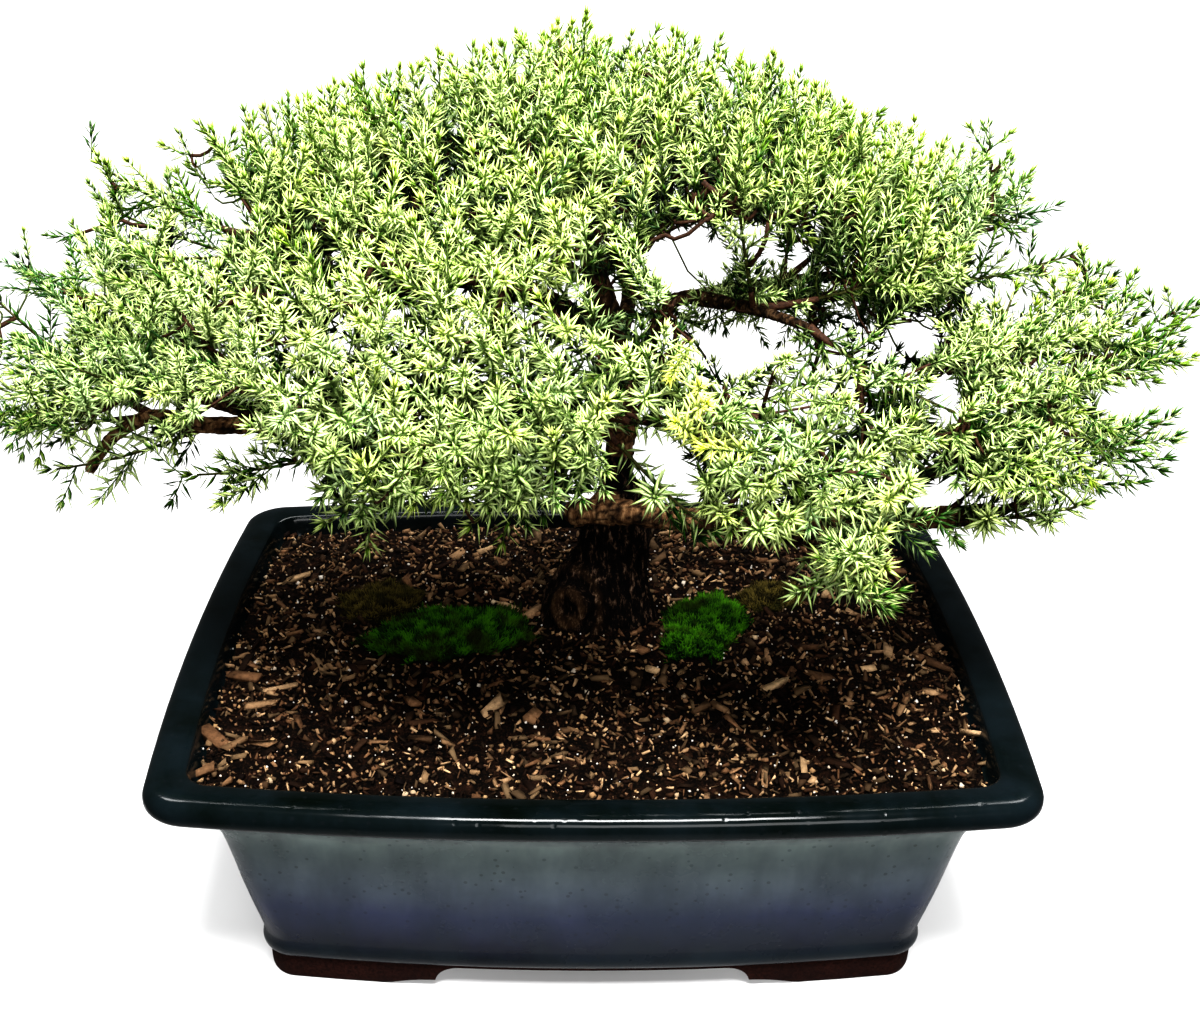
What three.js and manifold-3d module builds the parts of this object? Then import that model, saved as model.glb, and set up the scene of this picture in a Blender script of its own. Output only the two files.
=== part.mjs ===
// A juniper bonsai with whorled needles, growing in a glazed oblong pot.
// Millimetres, +Z up, +X to the right along the pot, +Y to the back.
// The tree and pot are laid out from the pot's centre on the table. At the end the whole group is
// moved so that its origin is the middle of the bottom of its bounding box.
import * as THREE from "three";
import { mergeVertices } from "three/addons/utils/BufferGeometryUtils.js";
import Module from "manifold-3d";

const wasm = await Module();
wasm.setup();

// Driving dimensions.
const GAP = 0.3; // clearance between neighbouring pieces
const TURN = 2 * Math.PI;
const GOLDEN_ANGLE = Math.PI * (3 - Math.sqrt(5));
const UP = new THREE.Vector3(0, 0, 1);

const POT = {
  length: 205, // over the rim
  depth: 160,
  height: 58.6,
  endBow: 3.2, // how far the short ends bulge in their middles
  sideBow: 6.2, // how far the front and back bulge
  rimWidth: 9.3,
  bandHeight: 6.2, // the upright face of the rim
  footHeight: 7,
  footInset: [23.9, 13], // from the rim's outline, at the ends and at the sides
  footWall: 10,
  floorTop: 13,
  drainRadius: 7,
  drainOffset: 42, // the drain holes' centres, left and right of the middle
};
const SCREEN = { side: 22, thickness: 1.2, cells: 3, bar: 2.2 };
const SOIL = { crown: 55, fall: 1.2, seed: 11, chips: 12, grains: 6 };
const STEM_BOTTOM = 30; // how deep the trunk stands in the soil

const WOOD = {
  limbSides: 5,
  ringGap: 20, // about how far apart a limb's rings stand
  twigSides: 3,
  twigRadius: 0.95,
  trunkSides: 12,
  ripple: 0.09, // of the trunk's bark, as a share of its radius
  seed: 5,
};
const LEAF = {
  spacing: 7.5, // from one whorl of three needles to the next
  rootLength: 2.5, // of a needle's foot along the shoot
  core: 0.9, // radius of the leafy core
  rootHeight: 0.8, // how far the needles' wide roots stand out of the core
  needle: 6.4,
  lean: 0.87, // between a needle and its shoot, in radians
  mainLength: 30,
  sideShoots: 3,
  sideLength: 18,
  sideLean: 0.9,
  tipLength: 4.5, // how far the last needles reach past a shoot's core
  twigLength: 42, // of a twig with its spray
  twigSag: 0.1, // how far a twig dips under its chord, as a share of its length
};

// Outlines of the pot from the outside foot up over the rim and down inside:
// how far each stands in from the rim's outline at the ends and at the sides, its height and the
// radius of its corners.
const POT_PROFILE = [
  [24.6, 13.7, 0, 5],
  [...POT.footInset, 1, 6],
  [...POT.footInset, POT.footHeight, 6],
  [22.7, 12, POT.footHeight + 0.5, 6.5],
  [22.2, 11.5, POT.footHeight + 2.4, 7],
  [22.7, 12, POT.footHeight + 4.4, 7],
  [22.6, 11.9, POT.footHeight + 5.6, 7],
  [19.5, 9.8, 25, 7],
  [16.8, 8, 38, 7.5],
  [14.6, 6.6, 46, 8],
  [7.5, 4.2, POT.height - POT.bandHeight - 1.6, 8.5],
  [0.9, 0.9, POT.height - POT.bandHeight - 0.2, 9],
  [0, 0, POT.height - POT.bandHeight + 1.2, 9],
  [0.2, 0.2, POT.height - 1.8, 9],
  [2.4, 2.4, POT.height, 8],
  [POT.rimWidth - 0.8, POT.rimWidth - 0.8, POT.height - 0.3, 6],
  [POT.rimWidth, POT.rimWidth, POT.height - 1.4, 5.5],
  [POT.rimWidth + 1.6, POT.rimWidth + 1.2, 51, 5.5],
  [20.5, 14, 46, 5.5],
  [26, 18, 20, 6],
  [29.5, 20.5, POT.floorTop, 5],
];
const FIRST_INNER = 17; // the first outline of POT_PROFILE that the soil touches

// The trunk from inside the soil to the crown: height, centre, and half widths along X and Y.
const TRUNK = [
  [57, 1.8, 16.6, 14.6, 11.6],
  [62, 1.6, 17, 13.4, 10.6],
  [67, 3, 17.4, 11.4, 9.8],
  [73, 5.2, 17.8, 9.4, 9],
  [80, 6, 18, 8.7, 8.3],
  [86, 6.4, 18, 7.9, 7.6],
  [90.5, 6.8, 18, 5.6, 5.6],
  [95, 6.4, 18, 4, 4],
  [100, 6.2, 18, 3.3, 3.4],
  [106, 7.2, 18, 4, 3.8],
  [113, 7, 18.4, 4.2, 4],
  [121, 6.6, 19, 3.6, 3.6],
];
const BASE = { x: 1.8, y: 16.6, halfX: 15.2, halfY: 12.4 }; // the root flare where it meets the soil

// Limbs as hand-placed points with a radius each. The thick one crosses in front of the trunk.
const LIMBS = [
  [[2, 17, 84, 4], [-4, 9.5, 88, 3.7], [6, 6.4, 89.8, 3.4], [22, 1, 90.4, 3.2], [42, -6, 93, 3.1],
    [64, -13, 97.4, 3], [82, -18.5, 101, 2.9], [94, -21, 103.4, 2.6]],
  [[6, 17, 108, 3.8], [-20, 9, 117, 3.4], [-48, 2, 122, 3], [-72, -3, 118, 2.5], [-92, -5, 117.4, 2.2],
    [-104, -6, 120, 1.9], [-114, -6.4, 115, 1.7], [-121, -7, 106, 1.5]],
  [[7, 18, 113, 4], [4, 17, 135, 3.5], [-2, 20, 155, 2.7], [-5, 22, 176, 1.6]],
  [[3, 17, 133, 3.2], [-22, 17, 147, 2.6], [-50, 15, 155, 2], [-84, 12, 159, 1.2]],
  [[8, 18, 113, 3.4], [15, 16, 136, 2.8], [22, 16, 143.4, 2.5], [46, 17, 142, 2.3], [76, 16, 147, 1.6]],
  [[4, 18, 125, 2.8], [9, 38, 136, 2], [6, 54, 142, 1.3]],
  [[-20, 17, 146, 2.3], [-46, 36, 141, 1.8], [-72, 44, 141, 1.2]],
  [[24, 16, 143.3, 2.2], [48, 36, 141, 1.7], [76, 44, 142, 1.1]],
  [[-1, 19, 149, 2.4], [20, 22, 163, 1.9], [40, 22, 174, 1.2]],
  [[56, -11, 95.6, 2.3], [82, -9, 109, 1.9], [106, -5, 121, 1.3]],
  [[28, -1.4, 91, 2.3], [40, -22, 98, 1.9], [49, -42, 106, 1.3]],
  [[5, 17, 127, 2.6], [0, -8, 131, 2], [-2, -34, 134, 1.3]],
  [[-24, 8, 117.6, 2.4], [-37, -16, 120, 1.8], [-50, -30, 125, 1.2]],
  [[-74, -3.2, 118, 2], [-88, -16, 128, 1.5], [-98, -20, 136, 1]],
  [[24, 16, 143.3, 2.1], [36, -6, 148, 1.6], [46, -24, 150, 1.1]],
  [[-2, 20, 156, 2.1], [-14, 0, 166, 1.6], [-24, -18, 171, 1.1]],
  [[-50, 15, 155, 1.6], [-64, 20, 167, 1.1]],
];

// Where the tips of the sprays reach: along the top of the crown, its right and left ends, its lower
// front edge, its front, its back and the spaces left between those.
const SPRAY_TIPS = [
  [-118, 15, 176], [-94, 26, 181], [-66, 28, 191], [-38, 26, 200], [-10, 18, 209], [15, 36, 205],
  [42, 30, 198], [69, 25, 188], [96, 12, 182],
  [121, 22, 155], [144, 5, 146], [133, -22, 131], [108, -45, 118], [104, -24, 136], [100, 6, 152],
  [68, -62, 124], [53, -77, 112], [25, -66, 119], [-29, -64, 119], [-60, -54, 115],
  [-94, -30, 116], [-128, -22, 113], [-149, -5, 122], [-147, 10, 148], [-114, -38, 146],
  [-82, -30, 166], [-72, -62, 142], [-46, -38, 171], [-38, -78, 145],
  [-19, -58, 170], [-2, -20, 192], [-4, -77, 148], [28, -18, 186], [26, -72, 148],
  [55, -8, 178], [82, -14, 166], [80, -42, 136],
  [-104, 68, 148], [-54, 84, 156], [2, 88, 160], [56, 82, 154], [106, 60, 150],
  [-22, 62, 188], [48, 58, 184], [-124, 40, 158],
  [-108, -8, 160], [-50, 54, 182], [-66, -4, 184], [78, 44, 172],
];

// Moss patches: centre, half widths, turn in degrees and height.
const MOSS = {
  moss_left: { x: -36.5, y: 4, long: 19.5, short: 12.5, turn: 24, height: 3.4 },
  moss_right: { x: 29.5, y: 8, long: 18, short: 9, turn: 78, height: 4.2 },
  moss_dry_left: { x: -56.5, y: 21, long: 12, short: 9, turn: 40, height: 2.6 },
  moss_dry_right: { x: 49.5, y: 25, long: 9.5, short: 7, turn: 10, height: 3.4 },
};

// Materials.
const finish = (color, roughness) =>
  new THREE.MeshStandardMaterial({ color, roughness, metalness: 0, flatShading: true });
const GLAZE = finish(0x2d3b3c, 0.25);
const MESH_PLASTIC = finish(0x1c1d1c, 0.6);
const SOIL_MIX = finish(0x2e1f16, 0.95);
const BARK = finish(0x3b2a20, 0.9);
const NEEDLES = finish(0x8fb587, 0.6);
const LIVE_MOSS = finish(0x3f8a22, 0.95);
const DRY_MOSS = finish(0x5a5433, 0.95);

// A repeatable stream of numbers from 0 to 1.
function randomStream(seed) {
  let state = seed >>> 0;
  return () => {
    state = (state + 0x6d2b79f5) >>> 0;
    let mixed = Math.imul(state ^ (state >>> 15), state | 1);
    mixed ^= mixed + Math.imul(mixed ^ (mixed >>> 7), mixed | 61);
    return ((mixed ^ (mixed >>> 14)) >>> 0) / 4294967296;
  };
}

// Solids.
function solidOf(geometry) {
  const bare = new THREE.BufferGeometry();
  bare.setAttribute("position", geometry.getAttribute("position"));
  bare.setIndex(geometry.index);
  const merged = mergeVertices(bare, 1e-4);
  return new wasm.Manifold(
    new wasm.Mesh({
      numProp: 3,
      vertProperties: merged.attributes.position.array,
      triVerts: new Uint32Array(merged.index.array),
    }),
  );
}

function geometryOf(solid) {
  const mesh = solid.getMesh();
  const geometry = new THREE.BufferGeometry();
  geometry.setAttribute("position", new THREE.BufferAttribute(mesh.vertProperties, 3));
  geometry.setIndex(new THREE.BufferAttribute(mesh.triVerts, 1));
  return geometry;
}

function joined(solids) {
  return wasm.Manifold.union(solids);
}

function facesGeometry(points, faces) {
  const geometry = new THREE.BufferGeometry().setFromPoints(points);
  geometry.setIndex(faces.flat());
  return geometry;
}

// A closed skin over a stack of rings with the same number of points, each ring running
// anticlockwise seen from the next one. The two end rings are closed over their middles.
function loft(rings) {
  const count = rings[0].length;
  const points = rings.flat();
  const faces = [];
  for (let level = 0; level + 1 < rings.length; level++) {
    for (let i = 0; i < count; i++) {
      const a = level * count + i;
      const b = level * count + ((i + 1) % count);
      faces.push([a, b, b + count], [a, b + count, a + count]);
    }
  }
  const last = (rings.length - 1) * count;
  const middle = (ring) => ring.reduce((sum, p) => sum.add(p), new THREE.Vector3()).divideScalar(count);
  points.push(middle(rings[0]), middle(rings.at(-1)));
  for (let i = 0; i < count; i++) {
    const next = (i + 1) % count;
    faces.push([next, i, points.length - 2], [last + i, last + next, points.length - 1]);
  }
  return facesGeometry(points, faces);
}

// The pot's outline at one level: a rounded oblong whose four sides bulge a little.
function potOutline(insetEnd, insetSide, cornerRadius, heightAt) {
  const halfX = POT.length / 2 - insetEnd;
  const halfY = POT.depth / 2 - insetSide;
  const corner = [[1, 1], [-1, 1], [-1, -1], [1, -1]];
  const cornerSteps = 3;
  const sideSteps = 3;
  const flat = [];
  corner.forEach(([signX, signY], k) => {
    for (let step = 0; step <= cornerSteps; step++) {
      const angle = ((k + step / cornerSteps) * Math.PI) / 2;
      flat.push([
        signX * (halfX - cornerRadius) + cornerRadius * Math.cos(angle),
        signY * (halfY - cornerRadius) + cornerRadius * Math.sin(angle),
      ]);
    }
    const [fromX, fromY] = flat.at(-1);
    const [nextX, nextY] = corner[(k + 1) % 4];
    const endAngle = ((k + 1) * Math.PI) / 2;
    const toX = nextX * (halfX - cornerRadius) + cornerRadius * Math.cos(endAngle);
    const toY = nextY * (halfY - cornerRadius) + cornerRadius * Math.sin(endAngle);
    for (let step = 1; step < sideSteps; step++) {
      const share = step / sideSteps;
      flat.push([fromX + (toX - fromX) * share, fromY + (toY - fromY) * share]);
    }
  });
  return flat.map(([x, y]) => {
    const bowedX = x * (1 - ((2 * POT.endBow) / POT.length) * (y / halfY) ** 2);
    const bowedY = y * (1 - ((2 * POT.sideBow) / POT.depth) * (x / halfX) ** 2);
    return new THREE.Vector3(bowedX, bowedY, heightAt(bowedX, bowedY));
  });
}

function box(sizeX, sizeY, sizeZ, x, y, z) {
  return solidOf(new THREE.BoxGeometry(sizeX, sizeY, sizeZ).translate(x, y, z));
}

// The gap between two feet, seen from its open side: a low cloud-shaped arch.
function footArch(halfWidth, length) {
  const high = POT.footHeight - 1;
  const arch = new THREE.Shape();
  arch.moveTo(-halfWidth, -1);
  arch.lineTo(-halfWidth, 0);
  arch.quadraticCurveTo(-halfWidth + 5, 1.9, -halfWidth + 12, 2.1);
  arch.quadraticCurveTo(-halfWidth + 13, high, -halfWidth + 18, high);
  arch.lineTo(halfWidth - 18, high);
  arch.quadraticCurveTo(halfWidth - 13, high, halfWidth - 12, 2.1);
  arch.quadraticCurveTo(halfWidth - 5, 1.9, halfWidth, 0);
  arch.lineTo(halfWidth, -1);
  arch.closePath();
  const geometry = new THREE.ExtrudeGeometry(arch, {
    depth: length,
    bevelEnabled: false,
    curveSegments: 2,
  });
  return geometry.translate(0, 0, -length / 2).rotateX(Math.PI / 2);
}

function potSolid() {
  const rings = POT_PROFILE.map(([end, side, z, radius]) => potOutline(end, side, radius, () => z));
  const inset = POT.footInset.map((value) => value + POT.footWall);
  const hollow = loft([
    potOutline(...inset, 5, () => -1),
    potOutline(...inset, 5, () => POT.footHeight - 0.4),
  ]);
  let pot = solidOf(loft(rings))
    .subtract(solidOf(hollow))
    .subtract(solidOf(footArch(49, POT.depth)))
    .subtract(solidOf(footArch(34, POT.length).rotateZ(Math.PI / 2)));
  for (const side of [-1, 1]) {
    const drain = new THREE.CylinderGeometry(POT.drainRadius, POT.drainRadius, 20, 14);
    drain.rotateX(Math.PI / 2).translate(side * POT.drainOffset, 0, POT.footHeight + 4);
    pot = pot.subtract(solidOf(drain));
  }
  return pot;
}

// A square of plastic mesh, standing on the origin.
function screenSolid() {
  const { side, thickness, cells, bar } = SCREEN;
  const pitch = (side - bar) / cells;
  let plate = box(side, side, thickness, 0, 0, thickness / 2);
  for (let column = 0; column < cells; column++) {
    for (let row = 0; row < cells; row++) {
      const x = (column + 0.5) * pitch - (side - bar) / 2;
      const y = (row + 0.5) * pitch - (side - bar) / 2;
      plate = plate.subtract(box(pitch - bar, pitch - bar, 4 * thickness, x, y, 0));
    }
  }
  return plate;
}

// The soil's surface falls a little from the trunk to the rim.
const soilTop = (x, y) => SOIL.crown - SOIL.fall * ((x / 91) ** 2 + (y / 69) ** 2);

// The lobed section of the root flare, widened all round by `clearance`.
function flareRing(clearance, heightAt) {
  const ring = [];
  for (let i = 0; i < WOOD.trunkSides; i++) {
    const angle = (TURN * i) / WOOD.trunkSides;
    const lobe = 1 + 0.07 * Math.cos(3 * angle + 0.6) + 0.05 * Math.cos(5 * angle + 2);
    ring.push(
      new THREE.Vector3(
        BASE.x + (BASE.halfX * lobe + clearance) * Math.cos(angle),
        BASE.y + (BASE.halfY * lobe + clearance) * Math.sin(angle),
        heightAt,
      ),
    );
  }
  return ring;
}

function insideMoss(x, y, margin) {
  return Object.values(MOSS).some((patch) => {
    const turn = THREE.MathUtils.degToRad(patch.turn);
    const along = (x - patch.x) * Math.cos(turn) + (y - patch.y) * Math.sin(turn);
    const across = (y - patch.y) * Math.cos(turn) - (x - patch.x) * Math.sin(turn);
    return Math.hypot(along / (patch.long + margin), across / (patch.short + margin)) < 1.15;
  });
}

// Bark chips and grains lie half sunk in the soil, clear of the trunk, the moss and the rim.
function soilBits() {
  const random = randomStream(SOIL.seed);
  const bits = [];
  const place = (geometry, clearance, tilt) => {
    for (;;) {
      const x = (random() - 0.5) * (POT.length - 2 * POT.rimWidth - 18);
      const y = (random() - 0.5) * (POT.depth - 2 * POT.rimWidth - 24);
      const nearTrunk = Math.hypot((x - BASE.x) / BASE.halfX, (y - BASE.y) / BASE.halfY) < 1.6;
      if (nearTrunk || insideMoss(x, y, clearance)) continue;
      geometry.rotateX((random() - 0.5) * tilt).rotateY((random() - 0.5) * tilt);
      geometry.rotateZ(random() * TURN).translate(x, y, soilTop(x, y) + 0.3);
      bits.push(solidOf(geometry));
      return;
    }
  };
  for (let i = 0; i < SOIL.chips; i++) {
    const chip = new THREE.BoxGeometry(5 + 5 * random(), 1.8 + 1.6 * random(), 1.6 + 0.8 * random());
    place(chip, 5, 0.7);
  }
  for (let i = 0; i < SOIL.grains; i++) {
    place(new THREE.OctahedronGeometry(1 + 0.7 * random()), 2, 1);
  }
  return bits;
}

function soilSolid(screens) {
  const wall = POT_PROFILE.slice(FIRST_INNER).reverse();
  const rings = wall.map(([end, side, z, radius], i) =>
    potOutline(end + GAP + 0.1, side + GAP + 0.1, radius, () => (i ? z : z + GAP)),
  );
  const [rimEnd, rimSide, , rimRadius] = POT_PROFILE[FIRST_INNER];
  for (const share of [0, 0.2, 0.5, 0.78]) {
    const radius = rimRadius + share * 12;
    const insetEnd = rimEnd + GAP + 0.1 + (share * POT.length) / 2.6;
    const insetSide = rimSide + GAP + 0.1 + (share * POT.depth) / 2.6;
    rings.push(potOutline(insetEnd, insetSide, radius, soilTop));
  }
  const hole = loft([flareRing(GAP, STEM_BOTTOM - GAP), flareRing(GAP, POT.height)]);
  let soil = joined([solidOf(loft(rings)), ...soilBits()]).subtract(solidOf(hole));
  const pocket = SCREEN.side + 2 * GAP;
  for (const { x, top } of screens) {
    soil = soil.subtract(box(pocket, pocket, 2 * (top + GAP - POT.floorTop), x, 0, POT.floorTop));
  }
  return soil;
}

// A low tufted cushion on the soil.
function mossSolid(patch, seed) {
  const random = randomStream(seed);
  const sides = 12;
  const turn = THREE.MathUtils.degToRad(patch.turn);
  const ringAt = (share, lift) => {
    const ring = [];
    for (let i = 0; i < sides; i++) {
      const angle = (TURN * i) / sides;
      const wobble = 1 + 0.09 * Math.sin(3 * angle + seed) + 0.06 * Math.sin(7 * angle + 2 * seed);
      const along = patch.long * share * wobble * Math.cos(angle);
      const across = patch.short * share * wobble * Math.sin(angle);
      const x = patch.x + along * Math.cos(turn) - across * Math.sin(turn);
      const y = patch.y + along * Math.sin(turn) + across * Math.cos(turn);
      const bump = lift ? (0.75 + 0.5 * random()) * lift : 0;
      ring.push(new THREE.Vector3(x, y, soilTop(x, y) + GAP + bump));
    }
    return ring;
  };
  const rings = [ringAt(0.4, 0), ringAt(1, 0)];
  for (const share of [0.96, 0.76, 0.5, 0.22]) {
    rings.push(ringAt(share, 0.8 + (patch.height - 0.8) * (1 - share ** 2)));
  }
  return solidOf(loft(rings));
}

// A smooth line through hand-placed [x, y, z, radius] points.
function smoothLine(controls) {
  const curve = new THREE.CatmullRomCurve3(
    controls.map(([x, y, z]) => new THREE.Vector3(x, y, z)),
    false,
    "catmullrom",
    0.5,
  );
  const spans = controls.length - 1;
  const stepsPerSpan = Math.max(1, Math.round(curve.getLength() / spans / WOOD.ringGap));
  const line = [];
  for (let i = 0; i <= spans * stepsPerSpan; i++) {
    const place = i / stepsPerSpan;
    const from = Math.min(Math.floor(place), spans - 1);
    const radius = THREE.MathUtils.lerp(controls[from][3], controls[from + 1][3], place - from);
    line.push({ point: curve.getPoint(place / spans), radius });
  }
  return line;
}

// Directions along and across a line of points, turned as little as possible from one to the next.
function framesOf(points, endAlong) {
  let across = new THREE.Vector3(0.3, 1, 0.2);
  const end = points.length - 1;
  return points.map((point, i) => {
    const before = points[Math.max(i - 1, 0)];
    const after = points[Math.min(i + 1, end)];
    const along = i === end && endAlong ? endAlong : after.clone().sub(before).normalize();
    across = across.clone().addScaledVector(along, -across.dot(along)).normalize();
    return { point, along, across, side: along.clone().cross(across) };
  });
}

function ringOf({ point, across, side }, radii, phase) {
  return radii.map((radius, i) => {
    const angle = phase + (TURN * i) / radii.length;
    return point
      .clone()
      .addScaledVector(across, radius * Math.cos(angle))
      .addScaledVector(side, radius * Math.sin(angle));
  });
}

// A tube of wood with uneven bark. Its end face looks along `endAlong` where that is given.
function woodTube(line, sides, random, endAlong) {
  const frames = framesOf(line.map((step) => step.point), endAlong);
  const rings = frames.map((frame, i) => {
    const radii = [];
    for (let k = 0; k < sides; k++) {
      radii.push(line[i].radius * (1 + WOOD.ripple * (2 * random() - 1)));
    }
    return ringOf(frame, radii, 0);
  });
  return solidOf(loft(rings));
}

function trunkSolid(random) {
  const rings = [flareRing(0, STEM_BOTTOM), flareRing(0, soilTop(BASE.x, BASE.y) + 1)];
  for (const [z, x, y, halfX, halfY] of TRUNK) {
    const ring = [];
    for (let i = 0; i < WOOD.trunkSides; i++) {
      const angle = (TURN * i) / WOOD.trunkSides;
      const bark = 1 + WOOD.ripple * (2 * random() - 1);
      ring.push(
        new THREE.Vector3(
          x + halfX * bark * Math.cos(angle),
          y + halfY * bark * Math.sin(angle),
          z + 0.6 * (random() - 0.5),
        ),
      );
    }
    rings.push(ring);
  }
  return solidOf(loft(rings));
}

// A round knot low on the front of the trunk.
function knotSolid() {
  const knot = new THREE.SphereGeometry(4, 8, 5);
  return solidOf(knot.rotateX(0.4).translate(-2, 8.6, 62.5));
}

// Everything that a needle must stay clear of, as round-ended rods. Each has an owner, which is a
// shoot's number or -1 for a limb, and is of wood or of leaf.
const rods = [];

const nearest = { a: new THREE.Vector3(), b: new THREE.Vector3() };

function rodDistance(a, b, c, d) {
  const alongFirst = b.clone().sub(a);
  const alongSecond = d.clone().sub(c);
  const between = a.clone().sub(c);
  const first = alongFirst.lengthSq();
  const second = alongSecond.lengthSq();
  const cross = alongFirst.dot(alongSecond);
  const startFirst = alongFirst.dot(between);
  const startSecond = alongSecond.dot(between);
  const spread = first * second - cross * cross;
  let s = spread > 1e-9 ? (cross * startSecond - startFirst * second) / spread : 0;
  s = THREE.MathUtils.clamp(s, 0, 1);
  let t = (cross * s + startSecond) / second;
  t = THREE.MathUtils.clamp(t, 0, 1);
  s = THREE.MathUtils.clamp((cross * t - startFirst) / first, 0, 1);
  nearest.a.copy(a).addScaledVector(alongFirst, s);
  nearest.b.copy(c).addScaledVector(alongSecond, t);
  return nearest.a.distanceTo(nearest.b);
}

function isClear(a, b, radius, owner, { parent = owner, ofWood = false } = {}) {
  const reach = a.distanceTo(b) / 2 + radius + GAP;
  const middle = a.clone().add(b).multiplyScalar(0.5);
  return rods.every((rod) => {
    if (rod.owner === owner || rod.owner === parent || (ofWood && rod.ofWood)) return true;
    if (middle.distanceTo(rod.middle) > reach + rod.reach) return true;
    return rodDistance(a, b, rod.a, rod.b) > radius + rod.radius + GAP;
  });
}

function addRod(a, b, radius, owner, ofWood = false) {
  const middle = a.clone().add(b).multiplyScalar(0.5);
  rods.push({ a, b, radius, owner, ofWood, middle, reach: a.distanceTo(b) / 2 + radius });
}

// The line of a twig and its spray, from the wood to the spray's tip, dipping a little on the way.
function twigPoint(twig, share) {
  const low = twig.root.clone().lerp(twig.tip, 0.5);
  low.z -= LEAF.twigSag * twig.root.distanceTo(twig.tip);
  return twig.root
    .clone()
    .multiplyScalar((1 - share) ** 2)
    .addScaledVector(low, 2 * share * (1 - share))
    .addScaledVector(twig.tip, share ** 2);
}

// Where a twig could leave the limbs: about as far off as its spray is long, with the least turn.
function rootsOfTwig(tip, limbs) {
  const roots = [];
  for (const limb of limbs) {
    for (let i = Math.ceil(limb.length * 0.3); i < limb.length; i++) {
      const reach = tip.clone().sub(limb[i].point);
      const along = limb[i].point.clone().sub(limb[i - 1].point).normalize();
      const turn = 1 - reach.clone().normalize().dot(along);
      const shortfall = Math.abs(reach.length() - LEAF.twigLength);
      roots.push({ cost: shortfall + 22 * turn, point: limb[i].point });
    }
  }
  return roots.sort((first, second) => first.cost - second.cost).map((root) => root.point);
}

// One shoot: rings of three points, each turned by a sixth of a turn from the one before, with a
// leafy band and a plain band by turns. In a leafy band every other face is the root of a needle.
function shootSolid(points, phase, owner) {
  const frames = framesOf(points);
  const rings = frames.map((frame, i) => {
    const taper = i === frames.length - 1 ? 0.6 : 1;
    return ringOf(frame, Array(3).fill(LEAF.core * taper), phase + (i * TURN) / 6);
  });
  const vertices = rings.flat();
  const faces = [[2, 1, 0]];
  for (let band = 0; band + 1 < rings.length; band++) {
    const { point, along } = frames[band + 1];
    for (let k = 0; k < 3; k++) {
      const a = band * 3 + k;
      const b = band * 3 + ((k + 1) % 3);
      const c = a + 3;
      faces.push([b, band * 3 + 3 + ((k + 1) % 3), c]);
      const root = vertices[a].clone().add(vertices[b]).add(vertices[c]).divideScalar(3);
      const out = root.clone().sub(point);
      out.addScaledVector(along, -out.dot(along)).normalize();
      const tip = band % 2 ? needleTip(root, out, along, owner) : null;
      if (!tip) {
        faces.push([a, b, c]);
        continue;
      }
      const last = vertices.push(tip) - 1;
      faces.push([a, b, last], [b, c, last], [c, a, last]);
    }
  }
  const last = vertices.push(lastLeafTip(points)) - 1;
  const top = (rings.length - 1) * 3;
  for (let k = 0; k < 3; k++) faces.push([top + k, top + ((k + 1) % 3), last]);
  return solidOf(facesGeometry(vertices, faces));
}

// A needle leans as usual, or a little more, less or shorter where it would cross another shoot.
function needleTip(root, out, along, owner) {
  for (const [lean, share] of [[1, 1], [0.75, 1], [1.25, 1], [1, 0.75], [0.6, 0.75]]) {
    const angle = LEAF.lean * lean;
    const tip = root
      .clone()
      .addScaledVector(out, LEAF.needle * share * Math.sin(angle))
      .addScaledVector(along, LEAF.needle * share * Math.cos(angle));
    const half = root.clone().lerp(tip, 0.45);
    if (!isClear(root, half, 1.25, owner) || !isClear(half, tip, 0.6, owner)) continue;
    addRod(root, half, 1.25, owner);
    addRod(half, tip, 0.6, owner);
    return tip;
  }
  return null;
}

// Points along a shoot: a plain stretch and a leafy stretch for each whorl.
function whorlPoints(pointAt, length) {
  const whorls = Math.max(2, Math.round(length / LEAF.spacing));
  const bareShare = 1 - LEAF.rootLength / LEAF.spacing;
  const points = [pointAt(0)];
  for (let i = 0; i < whorls; i++) {
    points.push(pointAt((i + bareShare) / whorls), pointAt((i + 1) / whorls));
  }
  return points;
}

// The last leaf of a shoot carries on from its core.
function lastLeafTip(points) {
  const end = points.at(-1);
  return end.clone().sub(points.at(-2)).setLength(LEAF.tipLength).add(end);
}

function coreIsClear(points, owner) {
  const line = [...points, lastLeafTip(points)];
  return line.every((point, i) => i === 0 || isClear(line[i - 1], point, LEAF.core + 0.3, owner));
}

function addCoreRods(points, owner) {
  points.forEach((point, i) => {
    if (i) addRod(points[i - 1], point, LEAF.core + LEAF.rootHeight, owner);
  });
  addRod(points.at(-1), lastLeafTip(points), LEAF.core, owner);
}

// The side shoots of a spray, as lines of points. Each starts on the main shoot and is swung to
// where it is clear, and is left out where nothing is.
function planSideShoots(twig, owner) {
  const shoots = [];
  for (let k = 0; k < LEAF.sideShoots; k++) {
    const share = 0.15 + (0.6 * k) / LEAF.sideShoots;
    const length = LEAF.sideLength * (1.1 - 0.5 * share) * Math.min(1, 0.45 + twig.leafLength / 60);
    for (const swing of [0, 0.7, -0.7, 1.4, -1.4]) {
      const points = sideShootPoints(twig, share, owner + k * GOLDEN_ANGLE + swing, length);
      const number = owner + (k + 1) / 10;
      const leaving = isClear(points[0], points[2], LEAF.core + 0.3, number, { parent: owner });
      if (!leaving || !coreIsClear(points.slice(2), number)) continue;
      addCoreRods(points, number);
      shoots.push({ points, number });
      break;
    }
  }
  return shoots;
}

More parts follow.
